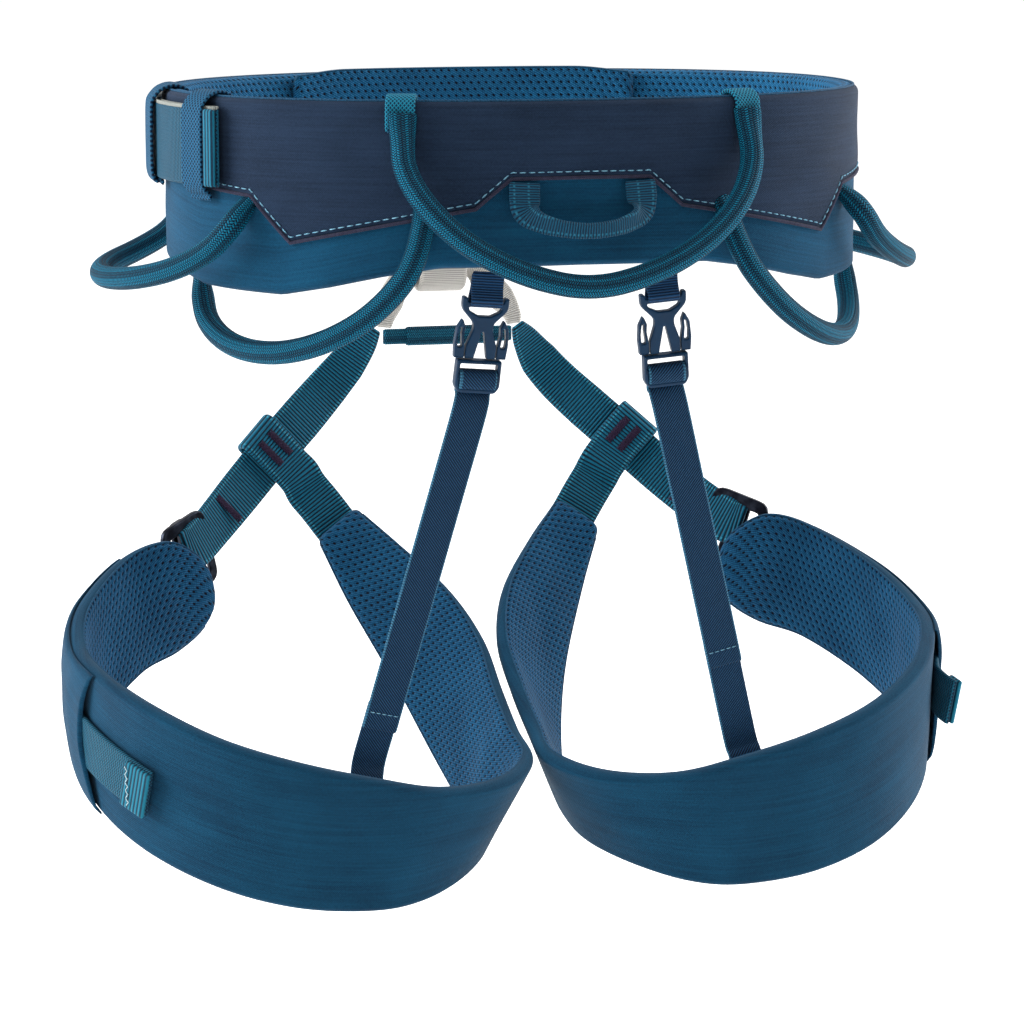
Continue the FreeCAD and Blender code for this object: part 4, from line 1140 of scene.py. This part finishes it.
# ---------------------------------------------------------------- front tie-in
def make_tie_in():
    upright = (0, 0, 1)
    upper = mirrored_route([(x, y, WAIST_WEBBING_Z) for x, y in UPPER_HALF])
    piece = strap("upper_tie_in", upper, [upright] * len(upper), UPPER_LOOP_WIDTH, TIE_IN_THICK, GREY,
                  "waistbelt")
    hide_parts("upper_tie_in_loop")
    arch = mirrored_route(ARCH_HALF)
    widths = ARCH_END_WIDTHS + [ARCH_WIDTH] * (len(arch) - 4) + ARCH_END_WIDTHS[::-1]
    across = [(-x, y, z) for x, y, z in ARCH_ACROSS]
    across += [(-x, -y, -z) for x, y, z in reversed(ARCH_ACROSS[:-1])]
    piece = strap("lower_tie_in_arch", arch, across, widths, TIE_IN_THICK, GREY, "lower_tie_in")
    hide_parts("lower_tie_in_loop")
    radius = BELAY_FOLD + BELAY_THICK / 2
    route = [(0, TIE_IN_Y - radius, z) for z in (-20, -32, -44)]
    turns = np.radians(np.linspace(-165, -15, 6))
    route += [(0, TIE_IN_Y + radius * math.cos(a), -48 + radius * math.sin(a)) for a in turns]
    route += [(0, TIE_IN_Y + radius, z) for z in (-42, -14, 14)]
    turns = np.radians(np.linspace(15, 165, 6))
    route += [(0, TIE_IN_Y + radius * math.cos(a), 20 + radius * math.sin(a)) for a in turns]
    route += [(0, TIE_IN_Y - radius, z) for z in (12, -4, -19.5)]
    piece = strap("belay_loop_webbing", route, [(1, 0, 0)] * len(route), BELAY_WIDTH, BELAY_THICK, GREY,
                  "belay_loop", taper=0)
    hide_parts("belay_loop")
    cuff = [(0, TIE_IN_Y - radius, z) for z in (-28, -20, -12)]
    strap("belay_loop_cuff", cuff, [(1, 0, 0)] * 3, BELAY_WIDTH + 0.6, BELAY_THICK + 1.6, GREY,
          "belay_loop")
    for z in (-24, -20, -16):
        row = [(x, TIE_IN_Y - radius - BELAY_THICK / 2 - 1.0, z) for x in (-7, 0, 7)]
        stitches("belay_bar_tack_" + str(-z), row, [(0, -1, 0)] * 3, DARK_THREAD, "belay_loop", 1.8, 0.8,
                 0.4, zigzag=0.9)
    x, y, z = BRIDGE_AT
    near, far = BRIDGE_REACH
    route = [(s, y, z) for s in (-far, -near, 0, near, far)]
    piece = strap("bridge_webbing", route, [upright] * 5, *BRIDGE_SIZE, BRIDGE, "lower_tie_in")
    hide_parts("bridge_strap")
    route = [(s, y, z) for s in (-BRIDGE_COVER_REACH, 0, BRIDGE_COVER_REACH)]
    piece = strap("bridge_cover", route, [upright] * 3, *BRIDGE_COVER_SIZE, BRIDGE, "lower_tie_in",
                  taper=0.8)
    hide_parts("bridge_sleeve")


# ---------------------------------------------------------------- leg loops
def leg_face(u, part):
    """Point on the leg loop's outer face, part of the way from the bottom edge to the top one."""
    return curve_point(LEG_BOTTOM, u) * (1 - part) + curve_point(LEG_TOP, u) * part


def leg_outward(u):
    along = leg_face(min(u + 0.2, 19), 0.5) - leg_face(max(u - 0.2, 0), 0.5)
    return unit(np.cross(along, leg_face(u, 1) - leg_face(u, 0)))


def leg_stations(first, last, step):
    fine = np.linspace(first, last, 900)
    line = np.array([leg_face(u, 0.5) for u in fine])
    length = distances(line)
    return np.interp(end_spaced(length[-1], step), length, fine)


def leg_shell_wrinkle(u, v, share):
    return 0.28 * ripple(u, v, 46.0, 31) * np.sin(math.pi * np.clip(share, 0, 1))


def leg_lining_wrinkle(u, v, share):
    return 0.5 * ripple(u, v * 0.7, 24.0, 41) * np.sin(math.pi * np.clip(share, 0, 1))


def make_leg_padding(side, sign):
    body = "leg_loop_" + side
    stations = leg_stations(0, 19, 2.6)
    top = np.array([curve_point(LEG_TOP, u) for u in stations])
    bottom = np.array([curve_point(LEG_BOTTOM, u) for u in stations])
    band = Band(top, bottom, LEG_THICK, 2.6, (3.2, 4.5), 0.0, 1.0, (3.0, 3.0))
    # the shell rolls over the edges; at the inner end and at the tongue the mesh comes out further
    tuck = 0.26 + 0.12 * (1 - smooth_step(stations / 3)) + 0.12 * smooth_step((stations - 15.6) / 1.6)
    band.cover("leg_shell_cover_" + side, tuck, 3 - tuck, 60, SHADED_LEG_BLUE, body, 0.0, 0.9, leg_shell_wrinkle,
               mirror=sign, replaces=["leg_outer_shell_" + side])
    band.cover("leg_lining_cover_" + side, 2.96 - tuck, 4.04 + tuck, 48, LEG_MESH, body, 0.4, 0.9,
               leg_lining_wrinkle, mirror=sign, replaces=["leg_mesh_lining_" + side, "leg_foam_" + side])
    for name, t in (("top", 3 - tuck), ("bottom", 4 + tuck)):
        seam, _ = band.edge_line(t, -0.1)
        keep = slice(7, len(seam) - 7)
        thin_tube("leg_lip_" + name + "_" + side, seam[keep] * (sign, 1, 1), SEAM_RADIUS, BLUE_THREAD,
                  body, 8)


def bar_tack(name, centre, across, out, length, material, body):
    """Close zigzag of thread, this long, across a strap."""
    row = [centre + unit(across) * s * length / 2 for s in (-1, 0, 1)]
    return stitches(name, row, [unit(out)] * 3, material, body, 3.2, 0.5, 0.66, zigzag=1.7)


def make_leg_webbing(side, sign):
    body = "leg_loop_" + side
    flip = vec(sign, 1, 1)
    beyond = vec(MAIN_WEBBING[-1][0]) + unit(BUCKLE_ALONG) * 8
    route = np.array([p for p, w in MAIN_WEBBING] + [beyond]) * flip
    across = np.array([w for p, w in MAIN_WEBBING] + [MAIN_WEBBING[-1][1]], float) * flip
    main = strap("leg_front_webbing_" + side, route, across, MAIN_WIDTHS + [17.0], WEBBING_THICK, TEAL,
                 body, rib=RIB, step=RIB_STEP)
    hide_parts("leg_main_webbing_" + side)
    centre = vec(MAIN_WEBBING[LOOP_STATION][0])
    along = unit(vec(MAIN_WEBBING[LOOP_STATION + 1][0]) - vec(MAIN_WEBBING[LOOP_STATION - 1][0]))
    out = unit(np.cross(along, MAIN_WEBBING[LOOP_STATION][1]))
    over = np.cross(out, along)
    # the inner strap ends in a loop sewn round the front webbing
    turn = [(-15.5, 4.4, 1.6), (-10, 3.5, 0.9), (-3, 3.0, 0.3), (5, 3.0, 0), (9.6, 2.9, 0), (11.7, 1.9, 0),
            (12.2, 0, 0), (11.7, -1.9, 0), (9.6, -2.9, 0), (0, -3.0, 0), (-9.5, -3.0, 0)]
    first = vec(INNER_WEBBING[0])
    route = [first + unit(first - vec(INNER_WEBBING[1])) * 5] + [vec(p) for p in INNER_WEBBING[:3]]
    route += [centre + over * a + out * b + along * c for a, b, c in turn]
    route = np.array(route) * flip
    across = [vec(INNER_ACROSS) * flip] * 4 + [(vec(INNER_ACROSS) - along) * flip] + [-along * flip] * 10
    inner = strap("leg_inner_strap_" + side, route, across, LEG_WEBBING_WIDTH, WEBBING_THICK, TEAL, body,
                  rib=RIB, step=RIB_STEP)
    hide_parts("leg_inner_webbing_" + side, "leg_webbing_loop_" + side)
    for n, shift in enumerate((-3.3, 3.3)):
        bar_tack("leg_loop_tack_%d_%s" % (n + 1, side), (centre + along * shift + out * 4.1 + over) * flip,
                 over * flip, out * flip, 13.0, DARK_THREAD, body)
    station = vec(MAIN_WEBBING[6][0]) * 0.35 + vec(MAIN_WEBBING[7][0]) * 0.65
    along = unit((vec(MAIN_WEBBING[7][0]) - vec(MAIN_WEBBING[6][0])) * flip)
    across = vec(MAIN_WEBBING[7][1]) * flip
    out = unit(np.cross(along, across))
    out = out if out[1] < 0 else -out
    bar_tack("leg_buckle_tack_" + side, station * flip + out * 1.5, over * flip, out, 14.0, DARK_THREAD,
             body)
    flat = axes(vec(BUCKLE_AT) * flip, vec(BUCKLE_ALONG) * flip, vec(BUCKLE_OUT) * flip)
    outline = rounded(box_outline(-13.5, -17, 13.5, 17), 6)
    slots = slot_pair(3.5, 9.5, 11.5, 1.4)
    plate = bevelled_plate("leg_buckle_plate_" + side, outline, slots, 2.4, METAL, body, flat, 0.7)
    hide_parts("leg_buckle_frame_" + side)
    flat = axes((vec(BUCKLE_AT) + unit(vec(BUCKLE_OUT)) * 2.7) * flip, vec(BUCKLE_ALONG) * flip,
                vec(BUCKLE_OUT) * flip)
    outline = rounded(box_outline(-4.5, -16, 4.5, 16), 2.5)
    bar = bevelled_plate("leg_buckle_bar_" + side, outline, [], 2.0, METAL, "leg_slider_" + side, flat, 0.6)
    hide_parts("leg_buckle_slider_" + side)


def make_leg_sleeve(side, sign):
    """Fabric sleeve over the strap tail, and the tail with its sewn fold."""
    body = "leg_loop_" + side
    flip = vec(sign, 1, 1)
    stations = leg_stations(SLEEVE_REAR, SLEEVE_FRONT, 1.6)
    grid, uv = [], []
    parts = np.linspace(0.0, 1.0, 40)
    for u, run in zip(stations, distances(np.array([leg_face(u, 0.5) for u in stations]))):
        ease = min(1.0, (u - SLEEVE_REAR) / 0.05 + 0.55, (SLEEVE_FRONT - u) / 0.35 + 0.1)
        height = np.linalg.norm(leg_face(u, 1) - leg_face(u, 0))
        lift = 4.2 * ease * np.sin(math.pi * parts) ** 0.4 + 0.35
        lift += 0.25 * ripple(run, parts * height, 16.0, 51) * np.sin(math.pi * parts)
        trim = 0.5 / height
        hollow = 0.28 * (SLEEVE_FRONT - u) / (SLEEVE_FRONT - SLEEVE_REAR)
        row = []
        for p, h in zip(parts, lift):
            at = u + hollow * math.sin(math.pi * p)
            row.append(leg_face(at, trim + (1 - 2 * trim) * p) + leg_outward(at) * h)
        grid.append(row)
        uv.append(np.stack([np.full(len(parts), run), parts * height], axis=1))
    piece = sheet_piece("leg_sleeve_" + side, np.array(grid) * flip, np.array(uv), SHADED_LEG_BLUE, COVER_THICK,
                        flip=sign > 0)
    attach(piece, body)
    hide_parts("leg_tail_sleeve_" + side)
    end, flare, height, length = TAIL_ENDS[side]
    count = 8
    points, across = [], []
    for i in range(count + 1):
        u = SLEEVE_REAR + 0.6 + (end - SLEEVE_REAR - 0.6) * i / count
        lift = 1.5 + flare * max(0, i / count - 0.55) ** 2 / 0.45 ** 2
        points.append((leg_face(u, height) + leg_outward(u) * lift) * flip)
        across.append((leg_face(u, 1) - leg_face(u, 0)) * flip)
    tail = strap("leg_tail_" + side, points, across, LEG_WEBBING_WIDTH, WEBBING_THICK, TEAL_TAIL, body,
                 step=0.5)
    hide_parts("leg_strap_tail_" + side)
    back = unit(points[-2] - points[-1])
    out = unit(np.cross(across[-1], back))
    out = out if np.dot(out, leg_outward(end) * flip) > 0 else -out
    fold = [points[-1] + out * 2.2 + back * s for s in (-0.6, length / 2, length)]
    strap("leg_tail_fold_" + side, fold, [across[-1]] * 3, LEG_WEBBING_WIDTH - 0.3, WEBBING_THICK, FOLD,
          body, step=0.5, taper=1.1)
    row = [points[-1] + out * 3.6 + back * (length - 3.5) + unit(across[-1]) * s for s in (-8.0, 0, 8.0)]
    stitches("leg_tail_stitch_" + side, row, [out] * 3, WHITE_THREAD, body, 2.0, 1.5, 0.4, zigzag=0.8)


# ---------------------------------------------------------------- rear risers
def on_riser(points, sign):
    """Points drawn in x (outwards), y (up) and z (backwards) in the riser's plane."""
    origin, x, y, z = axes(vec(RISER_TOP), vec(1, 0, 0), vec(RISER_OUT))
    points = np.atleast_2d(np.asarray(points, float))
    world = origin + points[:, :1] * x + points[:, 1:2] * y + points[:, 2:] * z
    return world * (sign, 1, 1)


def leaned(points):
    """Turns points by the buckle's lean, round the top of the tab, within the riser's plane."""
    points = np.atleast_2d(np.asarray(points, float))
    x, y = points[:, 0], points[:, 1] - TAB_TOP
    c, s = math.cos(BUCKLE_LEAN), math.sin(BUCKLE_LEAN)
    return np.stack([x * c - y * s, x * s + y * c + TAB_TOP, points[:, 2]], axis=1)


def riser_way(way, sign):
    _, x, y, z = axes(vec(RISER_TOP), vec(1, 0, 0), vec(RISER_OUT))
    return (way[0] * x + way[1] * y + way[2] * z) * (sign, 1, 1)


def riser_plate(name, outline, holes, thick, bevel, body, side, sign, mirror_x=1, dome=0.0):
    """Part of the side-release buckle, from outlines drawn before scaling."""
    outline, *holes = [np.array(loop) * BUCKLE_SCALE for loop in [outline] + holes]
    x, y = [riser_way(leaned(way)[0] - leaned((0, 0, 0))[0], sign) for way in ((1, 0, 0), (0, 1, 0))]
    matrix = (on_riser(leaned((0, 0, 0)), sign)[0], x * mirror_x, y, riser_way((0, 0, 1), sign))
    return bevelled_plate(name + "_" + side, outline, holes, thick, PLASTIC, body, matrix, bevel, dome)


def make_riser(side, sign):
    upper, lower = "riser_upper_" + side, "riser_lower_" + side
    male = rounded(MALE_OUTLINE, MALE_RADII)
    gap = rounded(MALE_GAP, MALE_GAP_RADII)
    piece = riser_plate("riser_male", male, [gap], 3.6, 0.7, upper, side, sign, dome=0.25)
    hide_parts("riser_buckle_male_" + side)
    arm, slot = rounded(ARM_OUTLINE, ARM_RADII), rounded(ARM_SLOT, 0.6)
    for part, way in (("outer", 1), ("inner", -1)):
        piece = riser_plate("riser_arm_" + part, arm, [slot], 3.4, 0.55, "riser_arm_" + part + "_" + side,
                            side, sign, mirror_x=way)
        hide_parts("riser_pinch_arm_" + part + "_" + side)
    holes = [rounded(box_outline(*hole), 0.6) for hole in FEMALE_HOLES]
    piece = riser_plate("riser_female", rounded(FEMALE_OUTLINE, FEMALE_RADII), holes, 5.0, 0.9, lower, side,
                        sign)
    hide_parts("riser_buckle_female_" + side)
    sideways = riser_way((math.cos(BUCKLE_LEAN), math.sin(BUCKLE_LEAN), 0), sign)
    route = on_riser(leaned(TAB_ROUTE), sign)
    tab = strap("riser_tab_webbing_" + side, route, [sideways] * len(route), RISER_TAB_WIDTH,
                RISER_WRAP_THICK, NAVY_TAB, upper, rib=(1.05, 0.1), step=0.35)
    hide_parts("riser_tab_" + side)
    lean = math.radians(RISER_LEAN)
    down = vec(math.sin(lean), -math.cos(lean), 0)
    tilt = riser_way((math.cos(lean), math.sin(lean), 0), sign)
    top = vec(4.7, -39.2, 0)
    length = ELASTIC_LENGTHS[side]
    end = top + down * length
    strap("riser_wrap_" + side, on_riser(leaned(WRAP_ROUTE), sign), [sideways] * 8 + [tilt] * 2,
          RISER_WIDTH + 0.4, RISER_WRAP_THICK, ELASTIC, lower, step=0.6)
    behind = -(RISER_THICK + 0.3)
    line = [leaned((0.2, -37.0, -2.8))[0], top + down * 1.0 + vec(0, 0, -0.9)]
    line += [top + down * length * s for s in (0.08, 0.3, 0.55, 0.8, 1.0)]
    band = strap("riser_strap_" + side, on_riser(line, sign), [tilt] * len(line), RISER_WIDTH, RISER_THICK,
                 ELASTIC, lower, step=0.8)
    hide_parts("riser_elastic_" + side)
    row = on_riser([end - down * 7 + vec(math.cos(lean), math.sin(lean), 0) * s + vec(0, 0, 0.8)
                    for s in (-6, 0, 6)], sign)
    stitches("riser_stitch_" + side, row, [riser_way((0, 0, 1), sign)] * 3, PALE_THREAD, lower, 1.7, 2.2,
             0.4)
    reach = STUB_LENGTHS[side]
    places = [end + down * s for s in (-11, 0, reach - 11.5, reach - 5.5, reach)]
    depths = [behind, behind, behind, behind + 2.8, behind + 5.6]
    route = on_riser([(p[0], p[1], d) for p, d in zip(places, depths)], sign)
    stub = strap("riser_lower_strap_" + side, route, [tilt] * 5, RISER_WIDTH - 0.6, RISER_THICK, ELASTIC,
                 "leg_loop_" + side, step=0.8)
    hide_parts("riser_stub_" + side)


# ---------------------------------------------------------------- studio
def make_studio():
    """Pale floor and backdrop, soft light from above and both sides, camera behind the harness."""
    floor_z = cad_box[0][2] - FLOOR_DROP
    mesh = bpy.data.meshes.new("floor")
    size = FLOOR_HALF
    mesh.from_pydata([(-size, -size, floor_z), (size, -size, floor_z), (size, size, floor_z),
                      (-size, size, floor_z)], [], [(0, 1, 2, 3)])
    floor = add_object("floor", mesh)
    paper = bpy.data.materials.new("paper")
    paper.use_nodes = True
    shader = paper.node_tree.nodes["Principled BSDF"]
    for socket, value in (("Base Color", (0.97, 0.97, 0.97, 1)), ("Roughness", 0.9),
                          ("Emission Color", (1, 1, 1, 1)), ("Emission Strength", 0.35)):
        shader.inputs[socket].default_value = value
    mesh.materials.append(paper)
    world = bpy.data.worlds.new("studio")
    world.use_nodes = True
    nodes, links = world.node_tree.nodes, world.node_tree.links
    way = nodes.new("ShaderNodeSeparateXYZ")
    links.new(nodes.new("ShaderNodeTexCoord").outputs["Generated"], way.inputs[0])
    front = nodes.new("ShaderNodeMapRange")
    links.new(way.outputs[1], front.inputs["Value"])
    for socket, value in (("From Min", -0.75), ("From Max", 0.35), ("To Min", 0.34), ("To Max", 1.02)):
        front.inputs[socket].default_value = value
    links.new(front.outputs["Result"], nodes["Background"].inputs["Strength"])
    nodes["Background"].inputs["Color"].default_value = (1, 1, 1, 1)
    bpy.context.scene.world = world
    for name, place, width, power in LIGHTS:
        light = bpy.data.lights.new(name, "AREA")
        light.size = width
        light.energy = power
        lamp = add_object(name, light)
        lamp.location = place
        lamp.rotation_euler = Vector(vec(LIGHT_TARGET) - vec(place)).to_track_quat("-Z", "Y").to_euler()
    level = math.cos(VIEW_ELEVATION)
    back = vec(math.sin(VIEW_AZIMUTH) * level, -math.cos(VIEW_AZIMUTH) * level, math.sin(VIEW_ELEVATION))
    lens = bpy.data.cameras.new("camera")
    lens.lens = LENS
    lens.sensor_width = 36.0
    camera = add_object("camera", lens)
    camera.location = vec(VIEW_TARGET) + back * VIEW_DISTANCE
    camera.rotation_euler = Vector(-back).to_track_quat("-Z", "Y").to_euler()
    bpy.context.scene.camera = camera
    bpy.context.scene.view_settings.view_transform = "Standard"


make_studio()
make_belt()
make_waist_strap()
make_gear_loops()
make_rear_loop_tabs()
make_haul_loop()
make_tie_in()
for side, sign in SIDES:
    make_leg_padding(side, sign)
    make_leg_webbing(side, sign)
    make_leg_sleeve(side, sign)
    make_riser(side, sign)
